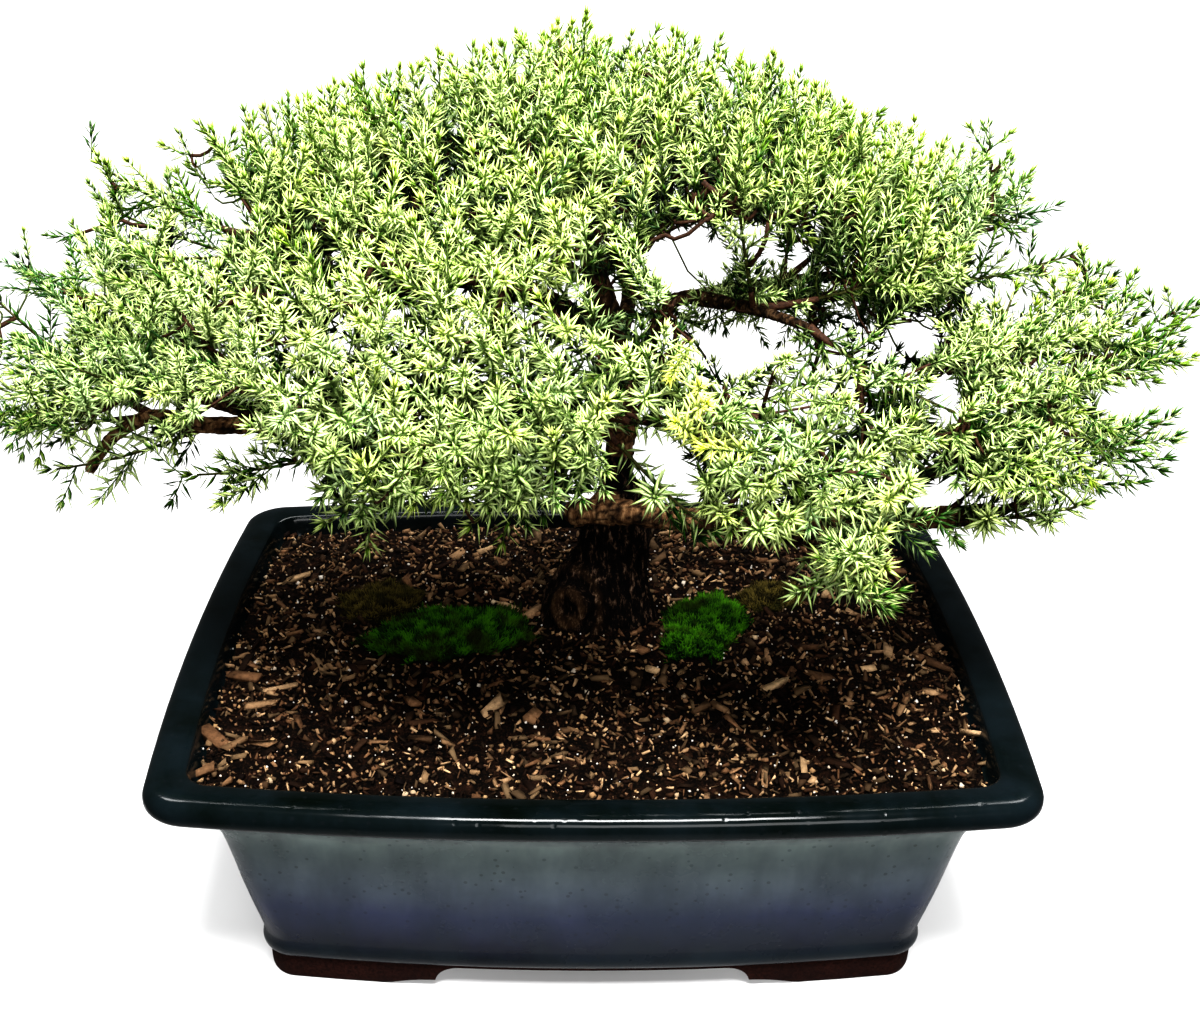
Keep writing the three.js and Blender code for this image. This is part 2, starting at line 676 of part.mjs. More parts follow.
function sideShootPoints(twig, share, turn, length) {
  const at = twig.mainPoints[Math.max(1, Math.round(share * (twig.mainPoints.length - 1)))];
  const along = twig.tip.clone().sub(twig.root).normalize();
  const level = along.clone().cross(UP).normalize();
  const rise = level.clone().cross(along);
  const out = level.multiplyScalar(Math.cos(turn)).addScaledVector(rise, 0.75 * Math.sin(turn));
  const heading = along.multiplyScalar(Math.cos(LEAF.sideLean));
  heading.addScaledVector(out, Math.sin(LEAF.sideLean)).normalize();
  return whorlPoints(
    (part) =>
      at
        .clone()
        .addScaledVector(heading, length * part)
        .addScaledVector(UP, 0.16 * length * part * part),
    length,
  );
}

// One spray: a leafy main shoot on the end of its twig and shorter side shoots round it.
function spraySolid(twig, owner) {
  const shoots = [shootSolid(twig.mainPoints, owner, owner)];
  for (const { points, number } of twig.sideShoots) {
    shoots.push(shootSolid(points, number, number));
  }
  return joined(shoots);
}

// A twig from a root to a tip, with the part of it that its spray covers.
function twigBetween(root, tip) {
  const length = root.distanceTo(tip);
  const shortest = 5; // of bare wood between a limb and its spray
  const leafLength = Math.min(LEAF.mainLength, length - LEAF.tipLength - shortest);
  const leafEnd = 1 - LEAF.tipLength / length;
  const leafStart = leafEnd - leafLength / length;
  const twig = { root, tip, leafLength };
  twig.mainPoints = whorlPoints(
    (share) => twigPoint(twig, THREE.MathUtils.lerp(leafStart, leafEnd, share)),
    leafLength,
  );
  const [start, next] = twig.mainPoints;
  twig.along = next.clone().sub(start).normalize();
  const woodEnd = start.clone().addScaledVector(twig.along, -GAP);
  twig.woodPoints = [root, twigPoint(twig, leafStart / 2), woodEnd];
  return twig;
}

// The twigs with their main shoots, each from the first root that keeps it clear of the others.
function planTwigs(limbs) {
  return SPRAY_TIPS.map((place, owner) => {
    const tip = new THREE.Vector3(...place);
    for (const root of rootsOfTwig(tip, limbs)) {
      const twig = twigBetween(root, tip);
      const [first, second, third] = twig.woodPoints;
      const woodClear =
        isClear(first, second, WOOD.twigRadius + 0.3, owner, { ofWood: true }) &&
        isClear(second, third, WOOD.twigRadius + 0.3, owner, { ofWood: true });
      if (!woodClear || !coreIsClear(twig.mainPoints, owner)) continue;
      addRod(first, second, WOOD.twigRadius + 0.3, owner, true);
      addRod(second, third, WOOD.twigRadius + 0.2, owner, true);
      addCoreRods(twig.mainPoints, owner);
      return twig;
    }
    throw new Error("no clear way to the spray's tip at " + place);
  });
}

function addMesh(group, name, solid, material) {
  const mesh = new THREE.Mesh(geometryOf(solid), material);
  mesh.name = name;
  group.add(mesh);
  return mesh;
}

// The pot with what it holds.
const potGroup = new THREE.Group();
addMesh(potGroup, "pot", potSolid(), GLAZE);
const screens = [
  { name: "drain_screen_left", x: -POT.drainOffset },
  { name: "drain_screen_right", x: POT.drainOffset },
];
for (const screen of screens) {
  screen.top = POT.floorTop + GAP + SCREEN.thickness;
  const mesh = addMesh(potGroup, screen.name, screenSolid(), MESH_PLASTIC);
  mesh.position.set(screen.x, 0, POT.floorTop + GAP);
}
addMesh(potGroup, "soil", soilSolid(screens), SOIL_MIX);
Object.entries(MOSS).forEach(([name, patch], i) => {
  addMesh(potGroup, name, mossSolid(patch, 3 + i), name.includes("dry") ? DRY_MOSS : LIVE_MOSS);
});

// The tree: its wood in one piece, and its sprays.
const treeGroup = new THREE.Group();
const barkRandom = randomStream(WOOD.seed);
const limbs = LIMBS.map(smoothLine);
const woodPieces = [trunkSolid(barkRandom), knotSolid()];
for (const limb of limbs) {
  woodPieces.push(woodTube(limb, WOOD.limbSides, barkRandom));
  limb.forEach((step, i) => {
    if (i) addRod(limb[i - 1].point, step.point, step.radius * (1 + WOOD.ripple), -1, true);
  });
}
const twigs = planTwigs(limbs);
twigs.forEach((twig, owner) => {
  twig.sideShoots = planSideShoots(twig, owner);
});
for (const { woodPoints, along } of twigs) {
  const line = woodPoints.map((point, i) => ({ point, radius: WOOD.twigRadius * (1.25 - 0.125 * i) }));
  woodPieces.push(woodTube(line, WOOD.twigSides, barkRandom, along));
}
addMesh(treeGroup, "trunk", joined(woodPieces), BARK);
twigs.forEach((twig, owner) => {
  const name = "spray_" + String(owner + 1).padStart(2, "0");
  addMesh(treeGroup, name, spraySolid(twig, owner), NEEDLES);
});

const bonsai = new THREE.Group();
bonsai.add(potGroup, treeGroup);
const bounds = new THREE.Box3().setFromObject(bonsai);
const middle = bounds.getCenter(new THREE.Vector3());
bonsai.position.set(-middle.x, -middle.y, -bounds.min.z);

export default bonsai;
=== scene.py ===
import math

import bpy
import numpy as np
from mathutils import Matrix, Vector, noise
from mathutils.bvhtree import BVHTree
from mathutils.kdtree import KDTree


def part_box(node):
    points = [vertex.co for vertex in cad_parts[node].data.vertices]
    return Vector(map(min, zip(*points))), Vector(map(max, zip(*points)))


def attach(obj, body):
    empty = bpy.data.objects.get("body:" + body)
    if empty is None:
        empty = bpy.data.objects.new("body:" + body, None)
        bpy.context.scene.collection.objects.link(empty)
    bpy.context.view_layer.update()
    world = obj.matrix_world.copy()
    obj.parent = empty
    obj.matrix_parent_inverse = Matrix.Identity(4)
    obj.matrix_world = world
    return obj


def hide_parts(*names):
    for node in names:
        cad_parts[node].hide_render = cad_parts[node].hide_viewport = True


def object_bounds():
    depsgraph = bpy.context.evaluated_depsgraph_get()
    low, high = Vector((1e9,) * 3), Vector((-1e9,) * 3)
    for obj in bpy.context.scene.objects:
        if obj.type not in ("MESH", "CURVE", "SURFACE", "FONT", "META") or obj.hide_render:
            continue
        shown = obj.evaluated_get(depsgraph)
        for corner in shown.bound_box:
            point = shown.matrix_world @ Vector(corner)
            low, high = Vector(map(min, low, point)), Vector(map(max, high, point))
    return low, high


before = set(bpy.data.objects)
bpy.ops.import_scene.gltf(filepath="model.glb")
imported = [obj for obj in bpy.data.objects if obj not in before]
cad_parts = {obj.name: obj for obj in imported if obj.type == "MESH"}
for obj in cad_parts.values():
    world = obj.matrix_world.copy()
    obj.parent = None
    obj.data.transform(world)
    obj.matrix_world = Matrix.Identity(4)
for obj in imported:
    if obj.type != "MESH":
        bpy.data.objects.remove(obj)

# A juniper bonsai in a glazed oblong pot. Lengths are in millimetres from the middle of the pot's
# foot, and become metres in the row's frame when a mesh is made.
cad_low, cad_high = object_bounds()
MM = 0.001
TURN = 2 * math.pi
GOLDEN_ANGLE = math.pi * (3 - math.sqrt(5))
UP = np.array([0.0, 0.0, 1.0])
pot_low, pot_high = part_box("pot")
POT_CENTRE = np.array([(pot_low.x + pot_high.x) / 2, (pot_low.y + pot_high.y) / 2, 0.0]) / MM

# Sizes that the part's source also holds.
GAP = 0.3
POT_LENGTH, POT_DEPTH, POT_HEIGHT = 205, 160, 58.6
END_BOW, SIDE_BOW = 3.2, 6.2
RIM_WIDTH, BAND_HEIGHT = 9.3, 6.2
FOOT_HEIGHT, FOOT_WALL, FLOOR_TOP = 7, 10, 13
FOOT_INSET = (23.9, 13)
DRAIN_RADIUS, DRAIN_OFFSET = 7, 42
SOIL_CROWN, SOIL_FALL = 55, 1.2
STEM_BOTTOM = 30
# From the outside foot up over the rim and down inside: inset at the ends and at the sides, height,
# corner radius, and whether the edge there stays sharp.
POT_PROFILE = [
    (24.6, 13.7, 0, 5, True),
    (23.9, 13, 1, 6, False),
    (*FOOT_INSET, FOOT_HEIGHT - 0.4, 6, True),
    (22.7, 12, FOOT_HEIGHT + 0.5, 6.5, False),
    (22.2, 11.5, FOOT_HEIGHT + 2.4, 7, False),
    (22.7, 12, FOOT_HEIGHT + 4.4, 7, True),
    (22.6, 11.9, FOOT_HEIGHT + 5.6, 7, False),
    (19.5, 9.8, 25, 7, False),
    (16.8, 8, 38, 7.5, False),
    (14.6, 6.6, 46, 8, False),
    (7.5, 4.2, POT_HEIGHT - BAND_HEIGHT - 1.6, 8.5, False),
    (0.9, 0.9, POT_HEIGHT - BAND_HEIGHT - 0.2, 9, False),
    (0, 0, POT_HEIGHT - BAND_HEIGHT + 1.2, 9, False),
    (0.2, 0.2, POT_HEIGHT - 1.8, 9, False),
    (2.4, 2.4, POT_HEIGHT, 8, False),
    (RIM_WIDTH - 0.8, RIM_WIDTH - 0.8, POT_HEIGHT - 0.3, 6, False),
    (RIM_WIDTH, RIM_WIDTH, POT_HEIGHT - 1.4, 5.5, False),
    (RIM_WIDTH + 1.6, RIM_WIDTH + 1.2, 51, 5.5, False),
    (20.5, 14, 46, 5.5, False),
    (26, 18, 20, 6, False),
    (29.5, 20.5, FLOOR_TOP, 5, True),
]
FIRST_INNER = 17
TRUNK = [
    (57, 1.8, 16.6, 14.6, 11.6), (62, 1.6, 17, 13.4, 10.6), (67, 3, 17.4, 11.4, 9.8),
    (73, 5.2, 17.8, 9.4, 9), (80, 6, 18, 8.7, 8.3), (86, 6.4, 18, 7.9, 7.6),
    (90.5, 6.8, 18, 5.6, 5.6), (95, 6.4, 18, 4, 4), (100, 6.2, 18, 3.3, 3.4),
    (106, 7.2, 18, 4, 3.8), (113, 7, 18.4, 4.2, 4), (121, 6.6, 19, 3.6, 3.6),
]
BASE_X, BASE_Y, BASE_HALF_X, BASE_HALF_Y = 1.8, 16.6, 15.2, 12.4
LIMBS = [
    [(2, 17, 84, 4), (-4, 9.5, 88, 3.7), (6, 6.4, 89.8, 3.4), (22, 1, 90.4, 3.2),
     (42, -6, 93, 3.1), (64, -13, 97.4, 3), (82, -18.5, 101, 2.9), (94, -21, 103.4, 2.6)],
    [(6, 17, 108, 3.8), (-20, 9, 117, 3.4), (-48, 2, 122, 3), (-72, -3, 118, 2.5),
     (-92, -5, 117.4, 2.2), (-104, -6, 120, 1.9), (-114, -6.4, 115, 1.7), (-121, -7, 106, 1.5)],
    [(7, 18, 113, 4), (4, 17, 135, 3.5), (-2, 20, 155, 2.7), (-5, 22, 176, 1.6)],
    [(3, 17, 133, 3.2), (-22, 17, 147, 2.6), (-50, 15, 155, 2), (-84, 12, 159, 1.2)],
    [(8, 18, 113, 3.4), (15, 16, 136, 2.8), (22, 16, 143.4, 2.5), (46, 17, 142, 2.3),
     (76, 16, 147, 1.6)],
    [(4, 18, 125, 2.8), (9, 38, 136, 2), (6, 54, 142, 1.3)],
    [(-20, 17, 146, 2.3), (-46, 36, 141, 1.8), (-72, 44, 141, 1.2)],
    [(24, 16, 143.3, 2.2), (48, 36, 141, 1.7), (76, 44, 142, 1.1)],
    [(-1, 19, 149, 2.4), (20, 22, 163, 1.9), (40, 22, 174, 1.2)],
    [(56, -11, 95.6, 2.3), (82, -9, 109, 1.9), (106, -5, 121, 1.3)],
    [(28, -1.4, 91, 2.3), (40, -22, 98, 1.9), (49, -42, 106, 1.3)],
    [(5, 17, 127, 2.6), (0, -8, 131, 2), (-2, -34, 134, 1.3)],
    [(-24, 8, 117.6, 2.4), (-37, -16, 120, 1.8), (-50, -30, 125, 1.2)],
    [(-74, -3.2, 118, 2), (-88, -16, 128, 1.5), (-98, -20, 136, 1)],
    [(24, 16, 143.3, 2.1), (36, -6, 148, 1.6), (46, -24, 150, 1.1)],
    [(-2, 20, 156, 2.1), (-14, 0, 166, 1.6), (-24, -18, 171, 1.1)],
    [(-50, 15, 155, 1.6), (-64, 20, 167, 1.1)],
]
SPRAY_TIPS = np.array([
    (-118, 15, 176), (-94, 26, 181), (-66, 28, 191), (-38, 26, 200), (-10, 18, 209),
    (15, 36, 205), (42, 30, 198), (69, 25, 188), (96, 12, 182),
    (121, 22, 155), (144, 5, 146), (133, -22, 131), (108, -45, 118), (104, -24, 136),
    (100, 6, 152), (68, -62, 124), (53, -77, 112), (25, -66, 119), (-29, -64, 119),
    (-60, -54, 115), (-94, -30, 116), (-128, -22, 113), (-149, -5, 122), (-147, 10, 148),
    (-114, -38, 146), (-82, -30, 166), (-72, -62, 142), (-46, -38, 171), (-38, -78, 145),
    (-19, -58, 170), (-2, -20, 192), (-4, -77, 148), (28, -18, 186), (26, -72, 148),
    (55, -8, 178), (82, -14, 166), (80, -42, 136), (-104, 68, 148), (-54, 84, 156),
    (2, 88, 160), (56, 82, 154), (106, 60, 150), (-22, 62, 188), (48, 58, 184), (-124, 40, 158),
    (-108, -8, 160), (-50, 54, 182), (-66, -4, 184), (78, 44, 172),
], float)
MOSS = {
    "moss_left": (-36.5, 4, 19.5, 12.5, 24, 3.4),
    "moss_right": (29.5, 8, 18, 9, 78, 4.2),
    "moss_dry_left": (-56.5, 21, 12, 9, 40, 2.6),
    "moss_dry_right": (49.5, 25, 9.5, 7, 10, 3.4),
}
MAIN_LENGTH, SIDE_LENGTH, TIP_LENGTH, TWIG_LENGTH, TWIG_SAG = 30, 18, 4.5, 42, 0.1
WHORL_SPACING, WHORL_ROOT, SIDE_SHOOTS, SIDE_LEAN = 7.5, 2.5, 3, 0.9
LIMB_RING_GAP = 20
FIRST_ROOT, ROOT_TURN_COST, ROOT_TRIES, ROOT_GAP = 0.3, 22, 60, 1.3

# The photograph's camera, worked out from the pot's edges. Its lengths are in pixels or millimetres.
PHOTO_WIDTH, PHOTO_HEIGHT, FOCAL_PIXELS = 1200, 1013, 1611.3
SENSOR_WIDTH = 36
CAMERA_PLACE = np.array([-8.57, -358.93, 268.16])
CAMERA_TARGET = np.array([1.509, 0, 94.28])
CAMERA_ROLL = math.radians(1.088)

# The pot and the soil, beyond what the source holds.
CORNER_STEPS, POT_SIDE_STEPS, SOIL_SIDE_STEPS, SOIL_RINGS = 10, 12, 40, 52
POT_SHARP_ANGLE = 38
END_ARCH, FRONT_ARCH = 34, 49
DRAIN_SIDES = 40
SOIL_HALF_X, SOIL_HALF_Y = 91, 69
CLOD_SCALE, CLOD_HEIGHT = 0.09, 0.9
CRUMB_SCALE, CRUMB_HEIGHT = 0.5, 0.45

# What lies on the soil. Chips: count, lengths, widths, thicknesses, tilt, lift and tones.
LITTER_SEED = 21
TRUNK_CLEARANCE, MOSS_CLEARANCE = 1.06, 1.15
CHIP_KINDS = [
    (90, (4, 7.5), (1.6, 3.2), (0.6, 1.4), 0.35, 0.3, (0.2, 1.0)),
    (1100, (1.6, 4.0), (0.7, 1.9), (0.4, 1.1), 0.7, 0.2, (0.0, 0.9)),
    (5400, (0.6, 2.2), (0.3, 0.85), (0.25, 0.7), 1.0, 0.2, (0.0, 1.0)),
]
# Grains: count, radii and tones.
GRAIN_KINDS = [
    (1700, (0.2, 0.6), (0.0, 0.6)),
    (800, (0.18, 0.42), (0.7, 1.0)),
    (45, (0.5, 0.95), (0.75, 1.0)),
    (150, (0.5, 1.1), (0.3, 0.7)),
]
GRAIN_LIFT = 0.25
BOX_CORNERS = np.array([(x, y, z) for x in (-0.5, 0.5) for y in (-0.5, 0.5) for z in (-0.5, 0.5)])
BOX_FACES = np.array([(0, 1, 3), (0, 3, 2), (4, 6, 7), (4, 7, 5), (0, 4, 5), (0, 5, 1),
                      (2, 3, 7), (2, 7, 6), (0, 2, 6), (0, 6, 4), (1, 5, 7), (1, 7, 3)])
GRAIN_CORNERS = np.array([(1, 0, 0), (-1, 0, 0), (0, 1, 0), (0, -1, 0), (0, 0, 1), (0, 0, -1)], float)
GRAIN_FACES = np.array([(0, 2, 4), (2, 1, 4), (1, 3, 4), (3, 0, 4),
                        (2, 0, 5), (1, 2, 5), (3, 1, 5), (0, 3, 5)])
MOSS_SIDES, MOSS_EDGE, BLADE_WIDTH = 96, 0.8, 0.15
MOSS_RINGS = (1.0, 0.97, 0.9, 0.8, 0.7, 0.6, 0.5, 0.4, 0.3, 0.2, 0.1)

# The wood. Limbs up to the last pale one are light brown, the others darker.
WOOD_VOXEL, TRUNK_SIDES, LIMB_SIDES = 0.8, 40, 16
KNOT_PLACE, KNOT_RADIUS, KNOT_RIPPLE = np.array([BASE_X - 9, BASE_Y - 14, 62]), 12, 1.3
LUMP_PLACE, LUMP_RADIUS = np.array([-2, 8.6, 62.5]), 4
LAST_PALE_LIMB, THIN_LIMB_TONE, TRUNK_BARK_TOP = 1, 0.35, 84
FLAKE_SCALE, FLAKE_STEPS = np.array([0.16, 0.16, 0.07]), 7
CRACK_STRETCH, KNOT_STRETCH = np.array([1, 1.4, 1.4]), (1, 0.6, 0.8)
# Limbs whose ends are cut off, with the length of clean wood at the end.
CUT_LIMBS = [(0, 0.6), (1, 0.6)]
# Limbs that look slimmer than their solids, by a share of their radius.
SLIM_LIMBS = {4: 0.75}

# The needles and shoots. A shoot's five points lie at these shares of its length, counted from its
# base or back from its tip.
CROWN_SEED = 8
FROM_BASE = np.linspace(0, 1, 5)[:, None]
TO_TIP = np.linspace(-1, 0, 5)[:, None]
SHOOT_RISE = 0.16
# The crown's middle line, which its shoots grow away from, and the depth of its middle.
SPINE_REACH, SPINE_SHARE, SPINE_Y, SPINE_Z = 95, 0.82, 12.0, 112.0
CROWN_MIDDLE = 20
# Stems that join shoots to the wood, and the pixels they keep from a white gap.
STEM_BEND, STEM_CHOICES, STEM_HOLE_MARGIN = 0.45, 10, 2
EXTRA_MARGIN, OUTSIDE_SHOOTS = 10, 8
# Needles: lengths, widths as shares of the length, and lean away from the shoot in radians.
LONG_NEEDLE, SHORT_NEEDLE = 6.2, 4.4
NEEDLE_WIDTH, COARSE_NEEDLE_WIDTH = 0.18, 0.26
NEEDLE_LEAN, LEAN_GAIN = 0.95, 0.12
# The height and depth where needles are longest, and how far up and back they get shorter.
LOW_NEEDLES, NEEDLE_RISE, FRONT_NEEDLES, NEEDLE_DEPTH = 112, 48, -40, 90
BUD_NEEDLES = 6
FINE_LEFT = -70
SPRIG_LENGTH = 10
WHORL_SHARE, COARSE_WHORL_SHARE = 0.31, 0.46
STEM_SHARE = 0.04
NEEDLE_SPARE = -2
SHOOT_LENGTH, SHORT_SHOOT = (11, 18), 8
# Passes that close the gaps left: how far apart in pixels, the share of the way in from the
# crown's front, and darkness, deeper in being darker: partly older needles, partly painted shade.
COVER_PASSES = [(12, 0.0, 0.15, 0.15), (9.5, 0.25, 0.7, 0.75)]
LEAFY_LIMBS, LIMB_SHOOT_GAP = (2, 3, 4, 5, 6, 7, 8, 9, 13, 14, 15, 16), 5
VEILED_LIMB, VEIL_START = 4, 27
COARSE_DARKNESS = 0.62
EXTRA_SHOOTS, BARE_GAP, BARE_MARGIN = 6, 2.6, 3
OUTLINE_MARGIN = 14
HOLE_MARGIN, NEAR_HOLE = 8, 24
HOLE_REGION = ((5, 165), (975, 535))
# Depths under the crown's surface, spacing of the shoots' tips, tries, spread of directions and
# darkness, for each layer of shoots. Deeper layers are darker: partly older needles, partly painted
# shade.
CROWN_LAYERS = [
    (-2, 4, 6.6, 34000, 0.4, 0.06),
    (6, 12, 6.8, 20000, 0.55, 0.6),
    (13, 30, 7.2, 20000, 0.7, 1.0),
]
# In the photograph: where the crown goes on past the left edge, where its shoots are blue, and the
# middle and half size of its patch of yellow young shoots.
LEFT_TOP, LEFT_BOTTOM = 215, 475
BLUE_RIGHT, BLUE_TOP, BLUE_BOTTOM = 955, 110, 240
BLUE_LEFT, BLUE_LEFT_BOTTOM = 60, 330
YOUNG_PATCH = ((695, 398), (42, 45))
# The crown's outline in the photograph.
CROWN_OUTLINE = [
    (0, 234), (18, 222), (30, 240), (60, 236), (72, 218), (88, 224), (90, 192), (100, 154),
    (112, 165), (120, 200), (132, 224), (150, 226), (152, 208), (166, 162), (178, 166),
    (186, 190), (184, 250), (200, 258), (214, 250), (216, 200), (196, 170), (170, 126),
    (180, 124), (198, 145), (204, 119), (226, 135), (242, 102), (288, 87), (334, 74), (362, 59),
    (400, 60), (438, 43), (474, 37), (490, 37), (517, 25), (558, 15), (587, 4), (612, 33), (637, 42),
    (673, 22), (725, 31), (742, 50), (774, 46), (802, 62), (827, 79), (880, 107), (915, 112),
    (948, 133), (989, 116), (1003, 150), (1038, 166), (1065, 204), (1027, 232), (985, 240),
    (979, 293), (1004, 306), (1052, 275), (1082, 247), (1096, 258), (1139, 265), (1150, 300),
    (1198, 300), (1193, 370), (1165, 386), (1109, 401), (1162, 411), (1189, 434), (1172, 475),
    (1104, 500), (1042, 508), (999, 500), (930, 490), (912, 520), (895, 560), (886, 596),
    (861, 602), (832, 590), (832, 560), (850, 530), (835, 528), (778, 555), (729, 548),
    (691, 512), (690, 497), (672, 440), (640, 430), (610, 428), (606, 500), (558, 518),
    (497, 520), (438, 515), (390, 522), (367, 531), (339, 530), (310, 512), (312, 470), (268, 442),
    (200, 432), (178, 460), (153, 445), (120, 415), (84, 445), (38, 474), (5, 460), (0, 470),
]
# The white gaps in the crown.
CROWN_HOLES = [
    [(655, 268), (650, 256), (684, 250), (680, 238), (697, 236), (712, 246), (722, 237),
     (736, 227), (749, 233), (752, 249), (735, 252), (722, 262), (716, 273), (700, 272),
     (700, 290), (688, 294), (676, 290)],
    [(768, 232), (783, 230), (787, 248), (803, 264), (799, 274), (788, 268), (770, 251)],
    [(718, 320), (757, 311), (775, 313), (788, 320), (789, 345), (775, 350), (752, 362),
     (745, 371), (734, 371), (728, 360), (708, 346), (703, 337), (716, 337)],
    [(828, 297), (846, 296), (846, 305), (832, 307)],
    [(604, 296), (616, 293), (624, 304), (608, 312)],
    [(891, 333), (914, 330), (934, 338), (932, 350), (918, 348), (906, 345)],
    [(935, 384), (946, 382), (954, 396), (954, 420), (940, 424), (937, 400)],
    [(30, 240), (60, 240), (62, 262), (36, 262)],
    [(20, 312), (50, 310), (66, 322), (60, 334), (30, 334)],
    [(236, 206), (249, 208), (248, 224), (237, 222)],
    [(82, 440), (100, 425), (150, 404), (165, 406), (125, 432), (92, 474)],
    [(205, 408), (250, 405), (252, 438), (210, 438)],
    [(616, 440), (668, 450), (688, 497), (696, 528), (612, 528)],
]
# Shoots on the arched limb between the two large gaps, as pixels: tip, then base.
BRIDGE_DEPTH = 12
BRIDGE_SHOOTS = [
    (698, 273, 716, 292), (709, 284, 724, 300), (723, 265, 738, 284), (734, 249, 742, 274),
    (745, 262, 752, 284), (728, 276, 745, 292), (758, 266, 765, 288), (771, 260, 776, 284),
    (783, 262, 780, 286), (792, 268, 786, 292), (748, 282, 752, 300), (736, 300, 748, 290),
    (760, 292, 768, 302), (775, 288, 780, 304), (705, 331, 712, 304), (712, 336, 718, 308),
    (701, 320, 711, 300), (722, 318, 727, 298), (736, 313, 740, 296), (752, 308, 755, 292),
    (768, 309, 770, 294), (690, 292, 706, 302), (783, 308, 784, 290), (795, 298, 790, 282),
    (642, 300, 656, 318), (630, 284, 645, 305), (648, 284, 652, 308), (636, 262, 642, 290),
    (618, 274, 632, 300), (804, 300, 812, 322), (800, 284, 810, 302), (816, 286, 824, 308),
    (803, 332, 814, 348), (797, 352, 810, 364), (790, 368, 802, 384), (772, 376, 786, 392),
    (752, 381, 765, 398), (806, 316, 818, 334), (694, 340, 704, 356), (712, 356, 716, 374),
    (728, 376, 734, 394), (742, 378, 750, 396), (664, 300, 668, 318), (684, 318, 690, 336),
    (700, 290, 716, 298), (714, 296, 728, 306), (741, 292, 756, 300), (765, 280, 772, 296),
]
# Shoots that stand out of the crown's outline in the photograph: tip, then base.
OUTLINE_SHOOTS = [
    (102, 155, 122, 215), (92, 193, 122, 220), (168, 163, 170, 240), (174, 125, 215, 198),
    (68, 217, 85, 242), (40, 236, 82, 233), (22, 222, 30, 265), (207, 121, 235, 175),
    (242, 102, 252, 150), (288, 87, 290, 135), (334, 74, 335, 115), (362, 59, 366, 105),
    (400, 59, 398, 100), (438, 43, 440, 90), (474, 37, 470, 80), (490, 37, 497, 80),
    (517, 25, 515, 75), (558, 15, 556, 60), (587, 4, 583, 60), (612, 32, 602, 75),
    (640, 42, 632, 85), (673, 22, 672, 70), (700, 34, 694, 76), (725, 31, 705, 70),
    (744, 50, 728, 90), (774, 46, 770, 95), (802, 62, 795, 105), (827, 79, 815, 125),
    (852, 100, 842, 140), (880, 107, 868, 150), (898, 116, 890, 160), (915, 112, 912, 160),
    (948, 133, 940, 175), (989, 116, 990, 170), (1016, 152, 996, 190), (1038, 166, 1005, 196),
    (1065, 204, 1015, 214), (1027, 232, 990, 220), (975, 222, 960, 200), (1004, 306, 985, 340),
    (1052, 275, 1060, 320), (1082, 247, 1090, 300), (1098, 258, 1102, 305),
    (1139, 265, 1120, 310), (1198, 300, 1145, 326), (1193, 368, 1140, 358),
    (1165, 386, 1118, 372), (1162, 411, 1112, 428), (1189, 434, 1135, 442),
    (1172, 475, 1125, 458), (1135, 492, 1105, 456), (1104, 500, 1080, 460),
    (1042, 508, 1050, 465), (999, 500, 1010, 460), (955, 495, 960, 455), (894, 513, 880, 478),
    (861, 598, 868, 545), (830, 572, 862, 556), (892, 574, 870, 556), (845, 548, 868, 556),
    (884, 540, 868, 556), (850, 592, 866, 556), (876, 594, 868, 556), (778, 551, 780, 505),
    (750, 548, 757, 500), (729, 544, 738, 498), (700, 520, 716, 478), (808, 540, 812, 495),
    (609, 503, 590, 455), (585, 512, 573, 465), (558, 516, 552, 468), (527, 518, 525, 468),
    (497, 516, 490, 466), (468, 514, 464, 466), (438, 513, 440, 462), (412, 518, 420, 470),
    (390, 520, 398, 474), (367, 529, 376, 482), (341, 528, 352, 480), (314, 510, 336, 472),
    (316, 470, 346, 440), (268, 440, 286, 405), (196, 442, 178, 424), (176, 462, 174, 424),
    (153, 446, 172, 424), (38, 472, 42, 425), (8, 457, 22, 415), (74, 458, 62, 415),
    (20, 466, 30, 420), (100, 440, 92, 400),
]

# Light and floor.
FLOOR_SIZE = 6000
WORLD_STRENGTH, BACKDROP_STRENGTH = 0.11, 1.05
FLOOR_FADE = (50, 190)
# Area lights: name, place, width and depth in metres, and power in watts.
LIGHTS = [
    ("key", (0.03, -0.52, 1.2), 0.5, 0.35, 29.5),
    ("strip", (0, 0.45, 1.2), 1.8, 0.2, 24),
    ("fill", (0.2, -1.2, 0.55), 0.6, 0.4, 6),
]
LIGHT_TARGET = (0, 0, 0.1)


def circle_angles(sides):
    return np.arange(sides) * TURN / sides


def unit(v):
    return v / np.linalg.norm(v, axis=-1, keepdims=True)


camera_forward = unit(CAMERA_TARGET - CAMERA_PLACE)
level_right = unit(np.cross(camera_forward, UP))
level_up = np.cross(level_right, camera_forward)
camera_right = math.cos(CAMERA_ROLL) * level_right + math.sin(CAMERA_ROLL) * level_up
camera_up = math.cos(CAMERA_ROLL) * level_up - math.sin(CAMERA_ROLL) * level_right


def add_camera():
    data = bpy.data.cameras.new("camera")
    data.sensor_width = SENSOR_WIDTH
    data.sensor_fit = "HORIZONTAL"
    data.lens = FOCAL_PIXELS / PHOTO_WIDTH * SENSOR_WIDTH
    data.clip_start, data.clip_end = 0.01, 50
    camera = bpy.data.objects.new("camera", data)
    turn = Matrix((camera_right, camera_up, -camera_forward)).transposed().to_4x4()
    place = Vector((CAMERA_PLACE + POT_CENTRE) * MM)
    camera.matrix_world = Matrix.Translation(place) @ turn
    bpy.context.scene.collection.objects.link(camera)
    bpy.context.scene.camera = camera


